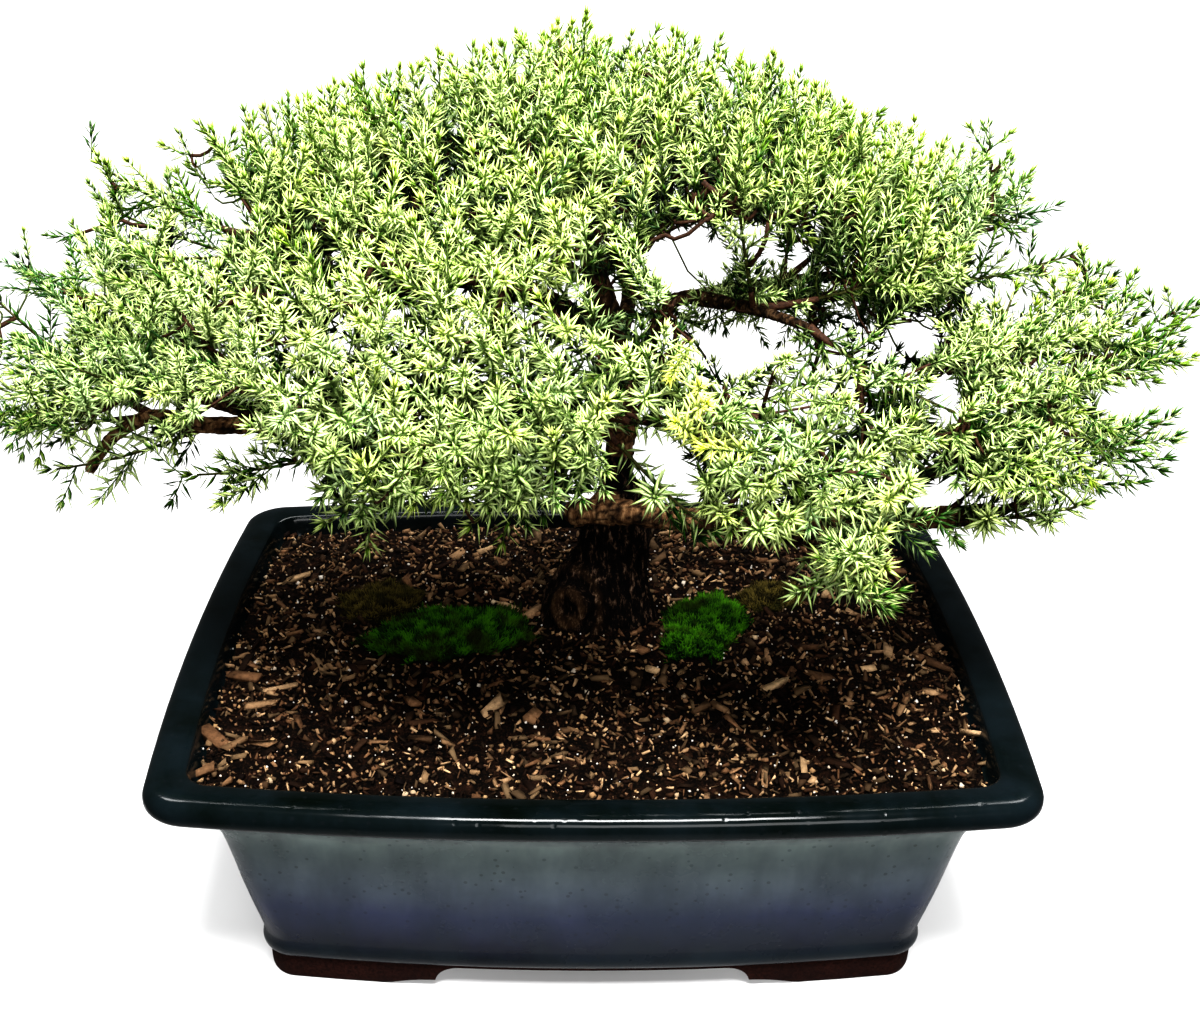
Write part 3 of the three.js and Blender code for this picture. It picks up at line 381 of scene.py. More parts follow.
def photo_pixels(points):
    """Where points fall in the photograph, as (n, 2) pixels from its top left corner."""
    away = np.atleast_2d(points) - CAMERA_PLACE
    depth = away @ camera_forward
    across = PHOTO_WIDTH / 2 + FOCAL_PIXELS * (away @ camera_right) / depth
    down = PHOTO_HEIGHT / 2 - FOCAL_PIXELS * (away @ camera_up) / depth
    return np.stack([across, down], axis=1)


TIP_PIXELS = photo_pixels(SPRAY_TIPS)


# Meshes.
def make_mesh(name, points, faces, indices=None):
    """A mesh from millimetre points and faces that all have the same number of corners."""
    points = (np.asarray(points, float) + POT_CENTRE) * MM
    faces = np.asarray(faces, np.int32)
    corners = faces.shape[1]
    mesh = bpy.data.meshes.new(name)
    mesh.vertices.add(len(points))
    mesh.vertices.foreach_set("co", points.astype(np.float32).ravel())
    mesh.loops.add(faces.size)
    mesh.loops.foreach_set("vertex_index", faces.ravel())
    mesh.polygons.add(len(faces))
    mesh.polygons.foreach_set("loop_start", np.arange(0, faces.size, corners, dtype=np.int32))
    if indices is not None:
        mesh.polygons.foreach_set("material_index", np.asarray(indices, np.int32))
    mesh.update(calc_edges=True)
    return mesh


def add_object(mesh, name):
    obj = bpy.data.objects.new(name, mesh)
    bpy.context.scene.collection.objects.link(obj)
    return obj


def add_piece(mesh, name, materials, nodes=()):
    """A piece of the object: it rides on the frame, and stands for the nodes it replaces."""
    obj = add_object(mesh, name)
    for material in materials:
        mesh.materials.append(material)
    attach(obj, "root")
    if nodes:
        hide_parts(*nodes)
    return obj


def set_tint(mesh, colours):
    """A colour for each vertex, which the materials read as the attribute called tint."""
    layer = mesh.attributes.new("tint", "FLOAT_COLOR", "POINT")
    layer.data.foreach_set("color", np.asarray(colours, np.float32).ravel())


def vertex_array(mesh):
    flat = np.empty(len(mesh.vertices) * 3, np.float32)
    mesh.vertices.foreach_get("co", flat)
    return flat.reshape(-1, 3) / MM - POT_CENTRE


def loft(rings):
    """Points and triangles of a closed skin over rings of equal length."""
    rings = np.asarray(rings, float)
    levels, count = rings.shape[:2]
    points = np.concatenate([rings.reshape(-1, 3), [rings[0].mean(0), rings[-1].mean(0)]])
    a = np.arange(levels - 1)[:, None] * count + np.arange(count)
    b = np.arange(levels - 1)[:, None] * count + (np.arange(count) + 1) % count
    a, b = a.ravel(), b.ravel()
    i = np.arange(count)
    following = (i + 1) % count
    last = (levels - 1) * count
    first_middle, last_middle = levels * count, levels * count + 1
    faces = np.concatenate([
        np.stack([a, b, b + count], 1),
        np.stack([a, b + count, a + count], 1),
        np.stack([following, i, np.full(count, first_middle)], 1),
        np.stack([last + i, last + following, np.full(count, last_middle)], 1),
    ])
    return points, faces


def merged(parts):
    """Several (points, faces) as one."""
    points, faces, offset = [], [], 0
    for some_points, some_faces in parts:
        points.append(some_points)
        faces.append(some_faces + offset)
        offset += len(some_points)
    return np.concatenate(points), np.concatenate(faces)


def applied(obj, name):
    """The object's mesh with its modifiers applied. The object itself goes."""
    bpy.context.view_layer.update()
    made = bpy.data.meshes.new_from_object(obj.evaluated_get(bpy.context.evaluated_depsgraph_get()))
    made.name = name
    bpy.data.objects.remove(obj)
    return made


def shade_smooth(mesh, sharp_angle=None):
    mesh.shade_smooth()
    if sharp_angle:
        mesh.set_sharp_from_angle(angle=math.radians(sharp_angle))


def tree_of(node):
    """The surface of a CAD node, for nearest-point questions in metres."""
    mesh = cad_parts[node].data
    corners = [vertex.co for vertex in mesh.vertices]
    return BVHTree.FromPolygons(corners, [polygon.vertices[:] for polygon in mesh.polygons])


def distance_to(tree, point):
    """From a millimetre point to a CAD node's surface, in millimetres."""
    found = tree.find_nearest(Vector((point + POT_CENTRE) * MM))
    return found[3] / MM


# Materials.
class Nodes:
    """A short way to write a material's node tree."""

    def __init__(self, name):
        self.material = bpy.data.materials.new(name)
        self.material.use_nodes = True
        self.tree = self.material.node_tree
        self.shader = self.tree.nodes["Principled BSDF"]

    def add(self, kind, inputs=None, **settings):
        node = self.tree.nodes.new(kind)
        for key, value in settings.items():
            setattr(node, key, value)
        for key, value in (inputs or {}).items():
            self.put(node, key, value)
        return node

    def put(self, node, key, value):
        socket = node.inputs[key]
        if isinstance(value, bpy.types.NodeSocket):
            self.tree.links.new(value, socket)
        else:
            socket.default_value = value

    def shade(self, **values):
        for key, value in values.items():
            self.put(self.shader, key.replace("_", " "), value)

    def place(self):
        return self.add("ShaderNodeNewGeometry").outputs["Position"]

    def noise(self, scale, detail=4.0, roughness=0.55, vector=None):
        """Noise over the object, its scale in features a millimetre."""
        inputs = {"Scale": scale / MM, "Detail": detail, "Roughness": roughness}
        inputs["Vector"] = self.place() if vector is None else vector
        return self.add("ShaderNodeTexNoise", inputs).outputs["Fac"]

    def cells(self, scale):
        """How far each place is from the middle of its cell."""
        inputs = {"Scale": scale / MM, "Vector": self.place()}
        return self.add("ShaderNodeTexVoronoi", inputs).outputs["Distance"]

    def ramp(self, factor, stops):
        node = self.add("ShaderNodeValToRGB", {"Fac": factor})
        ends = node.color_ramp.elements
        while len(ends) < len(stops):
            ends.new(0.5)
        for end, (position, colour) in zip(ends, stops):
            end.position = position
            end.color = (*colour, 1.0)
        return node.outputs["Color"]

    def math(self, operation, first, second):
        node = self.add("ShaderNodeMath", operation=operation)
        self.put(node, 0, first)
        self.put(node, 1, second)
        return node.outputs[0]

    def between(self, value, low, high, to_low=0.0, to_high=1.0):
        inputs = {"Value": value, "From Min": low, "From Max": high}
        inputs.update({"To Min": to_low, "To Max": to_high})
        return self.add("ShaderNodeMapRange", inputs).outputs["Result"]

    def mix(self, factor, first, second):
        node = self.add("ShaderNodeMix", data_type="RGBA")
        for index, value in ((0, factor), (6, first), (7, second)):
            if isinstance(value, bpy.types.NodeSocket):
                self.tree.links.new(value, node.inputs[index])
            elif index:
                node.inputs[index].default_value = (*value, 1.0)
            else:
                node.inputs[index].default_value = value
        return node.outputs[2]

    def tint(self):
        """The red, green, blue and alpha of the mesh's tint."""
        node = self.add("ShaderNodeAttribute", attribute_name="tint")
        split = self.add("ShaderNodeSeparateColor", {"Color": node.outputs["Color"]})
        return (*split.outputs[:3], node.outputs["Alpha"])

    def place_axes(self):
        return self.add("ShaderNodeSeparateXYZ", {"Vector": self.place()}).outputs

    def height(self):
        """Height above the floor in millimetres."""
        return self.math("DIVIDE", self.place_axes()["Z"], MM)

    def tall_place(self, squeeze):
        """The place with its height squeezed, so a pattern over it is drawn out upwards."""
        axes = self.place_axes()
        flat = {"X": axes["X"], "Y": axes["Y"], "Z": self.math("MULTIPLY", axes["Z"], squeeze)}
        return self.add("ShaderNodeCombineXYZ", flat).outputs["Vector"]

    def bump(self, height, depth, normal=None):
        """A bump whose height of 1 stands `depth` millimetres."""
        inputs = {"Height": height, "Distance": depth * MM, "Strength": 1.0}
        if normal is not None:
            inputs["Normal"] = normal
        return self.add("ShaderNodeBump", inputs).outputs["Normal"]


def glaze_material():
    """Green-black on the rim, then grey-green, slate and navy down the body. Low on the body it goes
    near black: partly the navy glaze, partly painted shade near the foot.
    """
    m = Nodes("glaze")
    height = m.height()
    cloud = m.noise(0.035, 5, 0.6)
    wobble = m.between(m.noise(0.09, 3), 0.2, 0.8, -1.6, 1.6)
    level = m.math("DIVIDE", m.math("ADD", height, wobble), POT_HEIGHT)
    # Near black low down: partly navy glaze, partly painted shade near the foot.
    body = m.ramp(level, [
        (0.0, (0.003, 0.003, 0.006)),
        (0.17, (0.002, 0.004, 0.007)),
        (0.24, (0.005, 0.007, 0.02)),
        (0.4, (0.032, 0.04, 0.08)),
        (0.6, (0.105, 0.13, 0.15)),
        (0.8, (0.16, 0.205, 0.195)),
        (0.87, (0.02, 0.032, 0.03)),
        (0.905, (0.003, 0.006, 0.005)),
        (1.0, (0.002, 0.004, 0.003)),
    ])
    streak = m.noise(0.12, 3, 0.6, m.tall_place(0.25))
    streaked = m.mix(m.between(streak, 0.35, 0.7, 0.0, 0.35), body, (0.008, 0.014, 0.018))
    mottled = m.mix(m.between(cloud, 0.4, 0.7, 0.0, 0.5), streaked, (0.012, 0.02, 0.026))
    speck = m.math("LESS_THAN", m.cells(0.35), 0.16)
    speckled = m.mix(m.math("MULTIPLY", speck, 0.35), mottled, (0.01, 0.012, 0.014))
    gloss = m.between(cloud, 0.3, 0.7, 0.08, 0.2)
    inside = m.between(height, POT_HEIGHT - 9, POT_HEIGHT - 6, 0.12, 0.0)
    ripple = m.bump(m.noise(0.05, 2, 0.4), 0.5)
    pits = m.bump(m.between(m.cells(0.28), 0.0, 0.22), 0.06, ripple)
    m.shade(Base_Color=speckled, Roughness=m.math("ADD", gloss, inside), Normal=pits, IOR=1.45,
            Specular_IOR_Level=0.22)
    return m.material


def clay_material():
    """The unglazed brown-red clay of the feet and the underside, very dark: partly the clay's own
    colour, partly painted shade under the pot.
    """
    m = Nodes("clay")
    grit = m.noise(1.4, 3, 0.7)
    stain = m.noise(0.08, 3)
    # Very dark brown-red: partly clay colour, partly painted shade under the pot.
    clay = m.ramp(grit, [(0.3, (0.006, 0.002, 0.0015)), (0.7, (0.03, 0.01, 0.007))])
    stained = m.mix(m.between(stain, 0.4, 0.7, 0.0, 0.6), clay, (0.006, 0.003, 0.003))
    m.shade(Base_Color=stained, Roughness=0.9, Normal=m.bump(grit, 0.15), Specular_IOR_Level=0.1)
    return m.material


def plastic_material():
    m = Nodes("mesh_plastic")
    dust = m.noise(0.8, 4)
    m.shade(
        Base_Color=m.ramp(dust, [(0.35, (0.012, 0.012, 0.012)), (0.75, (0.05, 0.045, 0.04))]),
        Roughness=m.between(dust, 0.3, 0.7, 0.45, 0.75),
        Normal=m.bump(dust, 0.08),
    )
    return m.material


def soil_material():
    """Near-black peat with brown fibres, under the loose chips."""
    m = Nodes("soil")
    clump = m.noise(0.22, 6, 0.7)
    grain = m.noise(1.6, 4, 0.7)
    dark = m.ramp(clump, [
        (0.35, (0.001, 0.001, 0.001)),
        (0.52, (0.005, 0.003, 0.002)),
        (0.65, (0.022, 0.01, 0.006)),
        (0.8, (0.07, 0.035, 0.02)),
    ])
    colour = m.mix(m.between(grain, 0.54, 0.78, 0.0, 0.7), dark, (0.085, 0.042, 0.022))
    relief = m.bump(grain, 0.5, m.bump(clump, 1.2))
    m.shade(Base_Color=colour, Roughness=0.93, Normal=relief, Specular_IOR_Level=0.08)
    return m.material


def chip_material():
    """Shredded bark: each chip has its own tone, with fibres along it."""
    m = Nodes("bark_chip")
    tone, bright, _, _ = m.tint()
    fibre = m.noise(0.9, 5, 0.7)
    wood = m.ramp(tone, [
        (0.0, (0.002, 0.001, 0.001)),
        (0.4, (0.014, 0.006, 0.003)),
        (0.62, (0.06, 0.028, 0.014)),
        (0.82, (0.24, 0.13, 0.066)),
        (1.0, (0.75, 0.52, 0.3)),
    ])
    colour = m.mix(m.between(fibre, 0.35, 0.7, 0.0, 0.6), wood, (0.01, 0.005, 0.003))
    lit = m.mix(m.math("MULTIPLY", bright, 0.5), colour, (0.36, 0.24, 0.13))
    m.shade(Base_Color=lit, Roughness=0.8, Normal=m.bump(fibre, 0.35), Specular_IOR_Level=0.12)
    return m.material


def grit_material():
    """Perlite, pebbles and feed pellets, told apart by their tint."""
    m = Nodes("grit")
    kind, shade_share, _, _ = m.tint()
    stone = m.ramp(kind, [
        (0.0, (0.05, 0.025, 0.015)),
        (0.3, (0.2, 0.11, 0.06)),
        (0.55, (0.42, 0.27, 0.13)),
        (0.75, (0.62, 0.5, 0.36)),
        (1.0, (0.82, 0.8, 0.76)),
    ])
    rough = m.noise(1.2, 4, 0.6)
    colour = m.mix(m.math("MULTIPLY", shade_share, 0.4), stone, (0.1, 0.06, 0.035))
    m.shade(Base_Color=colour, Roughness=0.78, Normal=m.bump(rough, 0.3), Specular_IOR_Level=0.2)
    return m.material


def moss_material(name, deep, mid, tip):
    m = Nodes(name)
    along, tone, _, _ = m.tint()
    clump = m.noise(0.18, 3)
    colour = m.ramp(along, [(0.0, deep), (0.55, mid), (1.0, tip)])
    varied = m.mix(m.between(clump, 0.35, 0.7, 0.0, 0.5), colour, deep)
    # Tone makes tuft tips brighter as painted highlight and low-tone places darker as painted shade
    # between tufts.
    bright = m.math("MULTIPLY", m.math("MULTIPLY", tone, along), 0.85)
    light = m.mix(bright, m.mix(m.between(tone, 0.0, 0.5, 0.7, 0.0), varied, deep), tip)
    faded = m.mix(m.between(m.noise(0.11, 2), 0.5, 0.64, 0.0, 0.75), light, (0.022, 0.022, 0.004))
    m.shade(Base_Color=faded, Roughness=0.85, Specular_IOR_Level=0.1)
    return m.material


def bark_material():
    """Dark flaky bark on the trunk, browner and cracked on the limbs, cream where it is cut. The
    trunk's near black is partly its dark bark, partly painted shade under the crown; its lighter
    flakes are partly real flakes, partly painted highlights.
    """
    m = Nodes("bark")
    limb, cut, plate, _ = m.tint()
    flake = m.noise(0.75, 6, 0.7, m.tall_place(0.35))
    fine = m.noise(2.4, 4, 0.7)
    # Trunk: near black, partly painted shade under the crown; the lighter flakes are partly painted
    # highlights.
    trunk = m.ramp(flake, [
        (0.42, (0.001, 0.0008, 0.0006)),
        (0.54, (0.005, 0.003, 0.002)),
        (0.62, (0.09, 0.055, 0.036)),
        (0.72, (0.4, 0.27, 0.18)),
    ])
    branch = m.ramp(flake, [
        (0.3, (0.03, 0.014, 0.007)),
        (0.48, (0.17, 0.09, 0.042)),
        (0.62, (0.4, 0.24, 0.12)),
        (0.78, (0.62, 0.44, 0.25)),
    ])
    # The first tint channel: the limbs' share, and on the knot's ridges a painted highlight.
    bark = m.mix(limb, trunk, branch)
    cracked = m.mix(m.between(plate, 0.1, 0.75, 0.95, 0.0), bark, (0.006, 0.004, 0.003))
    grain = m.ramp(fine, [(0.3, (0.42, 0.27, 0.14)), (0.7, (0.72, 0.56, 0.36))])
    colour = m.mix(cut, cracked, grain)
    relief = m.bump(fine, 0.25, m.bump(flake, 0.9))
    m.shade(Base_Color=colour, Roughness=0.86, Normal=relief, Specular_IOR_Level=0.1)
    return m.material


def stem_material():
    """Thin shoots: brown where old, green where young."""
    m = Nodes("stem")
    young, _, _, _ = m.tint()
    fine = m.noise(1.5, 3)
    old = m.ramp(fine, [(0.3, (0.02, 0.008, 0.004)), (0.7, (0.09, 0.04, 0.02))])
    fresh = m.ramp(fine, [(0.3, (0.05, 0.11, 0.015)), (0.7, (0.12, 0.22, 0.04))])
    m.shade(Base_Color=m.mix(young, old, fresh), Roughness=0.7, Normal=m.bump(fine, 0.2),
            Specular_IOR_Level=0.2)
    return m.material


def needle_material(name, base, middle, end, deep, yellow, blue):
    """One side of the needles. The tint holds darkness, the way along, youth and blueness."""
    m = Nodes(name)
    dark, along, youth, cool = m.tint()
    colour = m.ramp(along, [(0.12, base), (0.5, middle), (1.0, end)])
    patch = m.noise(0.03, 3)
    clouded = m.mix(m.between(patch, 0.4, 0.65, 0.0, 0.3), colour, base)
    chilled = m.mix(m.math("MULTIPLY", cool, 0.75), clouded, blue)
    lit = m.mix(youth, chilled, yellow)
    # Darkness blends towards the deep colour: partly older needles, partly painted shade inside the
    # crown.
    m.shade(Base_Color=m.mix(dark, lit, deep), Roughness=0.5, Specular_IOR_Level=0.25)
    return m.material


def floor_material():
    m = Nodes("floor")
    soft = m.noise(0.004, 2)
    white = m.ramp(soft, [(0.3, (0.7, 0.7, 0.705)), (0.7, (0.73, 0.73, 0.73))])
    distance = m.add("ShaderNodeVectorMath", {0: m.place()}, operation="LENGTH").outputs["Value"]
    fade = m.between(m.math("DIVIDE", distance, MM), *FLOOR_FADE, 1.0, 0.0)
    m.shade(Base_Color=white, Roughness=0.9, Alpha=fade)
    return m.material


# The pot.
def pot_outline(inset_end, inset_side, radius, corner_steps, side_steps):
    """The pot's outline at one level, in the plane: a rounded oblong whose sides bulge."""
    half_x, half_y = POT_LENGTH / 2 - inset_end, POT_DEPTH / 2 - inset_side
    radius = min(radius, 0.9 * half_x, 0.9 * half_y)
    corners = [(1, 1), (-1, 1), (-1, -1), (1, -1)]
    points = []
    for k, (sign_x, sign_y) in enumerate(corners):
        angles = (k + np.arange(corner_steps + 1) / corner_steps) * math.pi / 2
        arc = np.stack([np.cos(angles), np.sin(angles)], 1) * radius
        points.extend(arc + [sign_x * (half_x - radius), sign_y * (half_y - radius)])
        next_x, next_y = corners[(k + 1) % 4]
        end = arc[-1] + [next_x * (half_x - radius), next_y * (half_y - radius)]
        start = points[-1]
        points.extend(start + (end - start) * step / side_steps for step in range(1, side_steps))
    flat = np.array(points)
    bowed = flat.copy()
    bowed[:, 0] *= 1 - 2 * END_BOW / POT_LENGTH * (flat[:, 1] / half_y) ** 2
    bowed[:, 1] *= 1 - 2 * SIDE_BOW / POT_DEPTH * (flat[:, 0] / half_x) ** 2
    return bowed


def rounded(rows, passes):
    """Cuts the corners of a profile, apart from those marked sharp."""
    rows = [np.array(row, float) for row in rows]
    for _ in range(passes):
        made = [rows[0]]
        for before, row, after in zip(rows, rows[1:], rows[2:]):
            if row[4]:
                made.append(row)
                continue
            for other in (before, after):
                corner = row + 0.25 * (other - row)
                corner[4] = 0
                made.append(corner)
        rows = made + [rows[-1]]
    return rows


def with_height(outline, z):
    return np.column_stack([outline, np.broadcast_to(z, len(outline))])


def quadratic(start, control, end, steps):
    t = np.arange(1, steps + 1)[:, None] / steps
    start, control, end = (np.array(p, float) for p in (start, control, end))
    return (1 - t) ** 2 * start + 2 * t * (1 - t) * control + t ** 2 * end


def foot_arch(half_width, length):
    """A cutter for the gap between two feet: a low cloud-shaped arch along Y."""
    high = FOOT_HEIGHT - 1
    left = [(-half_width, -1), (-half_width, 0)]
    left.extend(quadratic((-half_width, 0), (-half_width + 5, 1.9), (-half_width + 12, 2.1), 8))
    left.extend(quadratic((-half_width + 12, 2.1), (-half_width + 13, high),
                          (-half_width + 18, high), 8))
    outline = np.array([*left, *[(-x, z) for x, z in reversed(left)]])
    rings = [np.column_stack([outline[:, 0], np.full(len(outline), y), outline[:, 1]])
             for y in (-length / 2, length / 2)]
    return loft(rings)


def cut_away(obj, cutters):
    """Sets the object to lose the cutters' space, and gives the helper objects that do it."""
    helpers = []
    for points, faces in cutters:
        helper = add_object(make_mesh("cutter", points, faces), "cutter")
        modifier = obj.modifiers.new("cut", "BOOLEAN")
        modifier.operation = "DIFFERENCE"
        modifier.solver = "EXACT"
        modifier.object = helper
        helpers.append(helper)
    return helpers


def add_pot(glaze, clay):
    rings = [with_height(pot_outline(end, side, radius, CORNER_STEPS, POT_SIDE_STEPS), z)
             for end, side, z, radius, _ in rounded(POT_PROFILE, 2)]
    obj = add_object(make_mesh("pot_body", *loft(rings)), "pot_body")
    inset_end, inset_side = FOOT_INSET[0] + FOOT_WALL, FOOT_INSET[1] + FOOT_WALL
    hollow = loft([with_height(pot_outline(inset_end, inset_side, 5, 8, 8), z)
                   for z in (-1, FOOT_HEIGHT - 0.4)])
    turned_points, faces = foot_arch(END_ARCH, POT_LENGTH)
    end_arch = (turned_points[:, [1, 0, 2]], faces[:, ::-1])
    cutters = [hollow, foot_arch(FRONT_ARCH, POT_DEPTH), end_arch]
    angles = circle_angles(DRAIN_SIDES)
    for side in (-1, 1):
        circle = np.stack([np.cos(angles), np.sin(angles)], 1) * DRAIN_RADIUS
        circle += [side * DRAIN_OFFSET, 0]
        cutters.append(loft([with_height(circle, z) for z in (FOOT_HEIGHT - 6, FLOOR_TOP + 1)]))
    helpers = cut_away(obj, cutters)
    mesh = applied(obj, "glazed_pot")
    for helper in helpers:
        bpy.data.objects.remove(helper)
    shade_smooth(mesh, POT_SHARP_ANGLE)
    unglazed = (FOOT_HEIGHT - 0.3) * MM
    for polygon in mesh.polygons:
        polygon.material_index = int(all(mesh.vertices[i].co.z < unglazed for i in polygon.vertices))
    add_piece(mesh, "glazed_pot", [glaze, clay], ["pot"])


# The soil and what lies on it.
def soil_top(x, y):
    return SOIL_CROWN - SOIL_FALL * ((x / SOIL_HALF_X) ** 2 + (y / SOIL_HALF_Y) ** 2)


def soil_relief(x, y):
    """Clods and dips in the soil's surface."""
    clod = Vector((x * CLOD_SCALE, y * CLOD_SCALE, 3.0))
    crumb = Vector((x * CRUMB_SCALE, y * CRUMB_SCALE, 9.0))
    return CLOD_HEIGHT * noise.noise(clod) + CRUMB_HEIGHT * noise.noise(crumb)


def relief_at(places):
    return np.array([soil_relief(x, y) for x, y in places])


def add_soil(material):
    wall = POT_PROFILE[FIRST_INNER:][::-1]
    clearance = GAP + 0.1
    rings = []
    for index, (end, side, z, radius, _) in enumerate(wall):
        outline = pot_outline(end + clearance, side + clearance, radius, CORNER_STEPS,
                              SOIL_SIDE_STEPS)
        rings.append(with_height(outline, z if index else z + GAP))
    end, side, _, radius, _ = POT_PROFILE[FIRST_INNER]
    for share in np.linspace(0, 0.97, SOIL_RINGS):
        outline = pot_outline(
            end + clearance + share * POT_LENGTH / 2.6 * (0.78 + 0.37 * share),
            side + clearance + share * POT_DEPTH / 2.6 * (0.78 + 0.37 * share),
            radius + share * 12, CORNER_STEPS, SOIL_SIDE_STEPS)
        lift = soil_top(outline[:, 0], outline[:, 1]) + relief_at(outline) * min(1, 0.3 + 9 * share)
        rings.append(with_height(outline, lift))
    mesh = make_mesh("soil_bed", *loft(rings))
    shade_smooth(mesh)
    add_piece(mesh, "soil_bed", [material], ["soil"])


def inside_moss(x, y, margin):
    for centre_x, centre_y, long, short, turn, _ in MOSS.values():
        c, s = math.cos(math.radians(turn)), math.sin(math.radians(turn))
        along = (x - centre_x) * c + (y - centre_y) * s
        across = (y - centre_y) * c - (x - centre_x) * s
        if math.hypot(along / (long + margin), across / (short + margin)) < MOSS_CLEARANCE:
            return True
    return False


def near_trunk(x, y):
    away = math.hypot((x - BASE_X) / BASE_HALF_X, (y - BASE_Y) / BASE_HALF_Y)
    return away < TRUNK_CLEARANCE


def turned(points, tilt_x, tilt_y, yaw):
    """Points of many pieces, (n, k, 3), each turned about X, then Y, then Z."""
    for angles, (a, b) in ((tilt_x, (1, 2)), (tilt_y, (2, 0)), (yaw, (0, 1))):
        c, s = np.cos(angles)[:, None], np.sin(angles)[:, None]
        first, second = points[..., a].copy(), points[..., b].copy()
        points[..., a] = first * c - second * s
        points[..., b] = first * s + second * c
    return points


def scattered(rng, count, margin, moss_margin):
    """Places on the soil, clear of the rim, the trunk and the moss."""
    places = []
    half_x, half_y = POT_LENGTH / 2 - RIM_WIDTH - margin, POT_DEPTH / 2 - RIM_WIDTH - margin
    while len(places) < count:
        x, y = rng.uniform(-half_x, half_x), rng.uniform(-half_y, half_y)
        beyond_side = abs(y) > half_y - SIDE_BOW * (x / half_x) ** 2
        if beyond_side or abs(x) > half_x - END_BOW * (y / half_y) ** 2:
            continue
        if near_trunk(x, y) or inside_moss(x, y, moss_margin):
            continue
        places.append((x, y))
    return np.array(places)


def lying(places, lift):
    """The soil's places with their heights on its relief."""
    heights = soil_top(places[:, 0], places[:, 1]) + relief_at(places) + lift
    return np.column_stack([places, heights])[:, None, :]


def copies(corners, faces):
    """Many copies of one small shape, (n, k, 3), as one (points, faces)."""
    count, each = corners.shape[:2]
    all_faces = (np.arange(count)[:, None, None] * each + faces).reshape(-1, 3)
    return corners.reshape(-1, 3), all_faces


def chips_at(rng, places, sizes, tilt, lift):
    count = len(places)
    corners = np.repeat(BOX_CORNERS[None], count, 0)
    corners = corners + rng.uniform(-0.2, 0.2, corners.shape)
    taper = rng.uniform(0.15, 1.0, (count, 1))
    corners[:, 4:, 1] *= taper
    corners[:, :4, 1] *= rng.uniform(0.5, 1.0, (count, 1))
    corners *= sizes[:, None, :]
    corners[..., 2] += 0.05 * sizes[:, :1] * (4 * (corners[..., 0] / sizes[:, :1]) ** 2)
    angles = rng.uniform(-tilt, tilt, (2, count))
    corners = turned(corners, angles[0], angles[1], rng.uniform(0, TURN, count))
    return corners + lying(places, lift)


def add_litter(chip, grit):
    """Bark chips, slivers, perlite, pebbles and pellets, strewn over the soil."""
    rng = np.random.default_rng(LITTER_SEED)
    shapes, tones = [], []
    for count, long, wide, thick, tilt, lift, tone in CHIP_KINDS:
        places = scattered(rng, count, 1.5, -1.5)
        sizes = np.column_stack([rng.uniform(*span, count) for span in (long, wide, thick)])
        shapes.append(chips_at(rng, places, sizes, tilt, lift))
        tones.append(rng.uniform(*tone, count))
    corners = np.concatenate(shapes)
    tones = np.concatenate(tones)
    mesh = make_mesh("bark_chips", *copies(corners, BOX_FACES))
    bright = rng.uniform(0, 1, len(tones)) ** 4
    colours = np.column_stack([tones, bright, bright, np.ones(len(tones))])
    set_tint(mesh, np.repeat(colours, len(BOX_CORNERS), 0))
    add_piece(mesh, "bark_chips", [chip])
    shapes, tones = [], []
    for count, radii, tone in GRAIN_KINDS:
        places = scattered(rng, count, 1, -2)
        size = rng.uniform(*radii, (count, 1, 1))
        size = size * rng.uniform(0.7, 1.2, (count, len(GRAIN_CORNERS), 1))
        grains = turned(GRAIN_CORNERS * size, *rng.uniform(0, TURN, (3, count)))
        shapes.append(grains + lying(places, GRAIN_LIFT))
        tones.append(rng.uniform(*tone, count))
    tones = np.concatenate(tones)
    mesh = make_mesh("grit", *copies(np.concatenate(shapes), GRAIN_FACES))
    shade = rng.uniform(0, 0.6, len(tones))
    colours = np.column_stack([tones, shade, shade, np.ones(len(tones))])
    set_tint(mesh, np.repeat(colours, len(GRAIN_CORNERS), 0))
    add_piece(mesh, "grit", [grit])


# The moss.
def moss_height(patch_height, share):
    return MOSS_EDGE + (patch_height - MOSS_EDGE) * (1 - share ** 2)


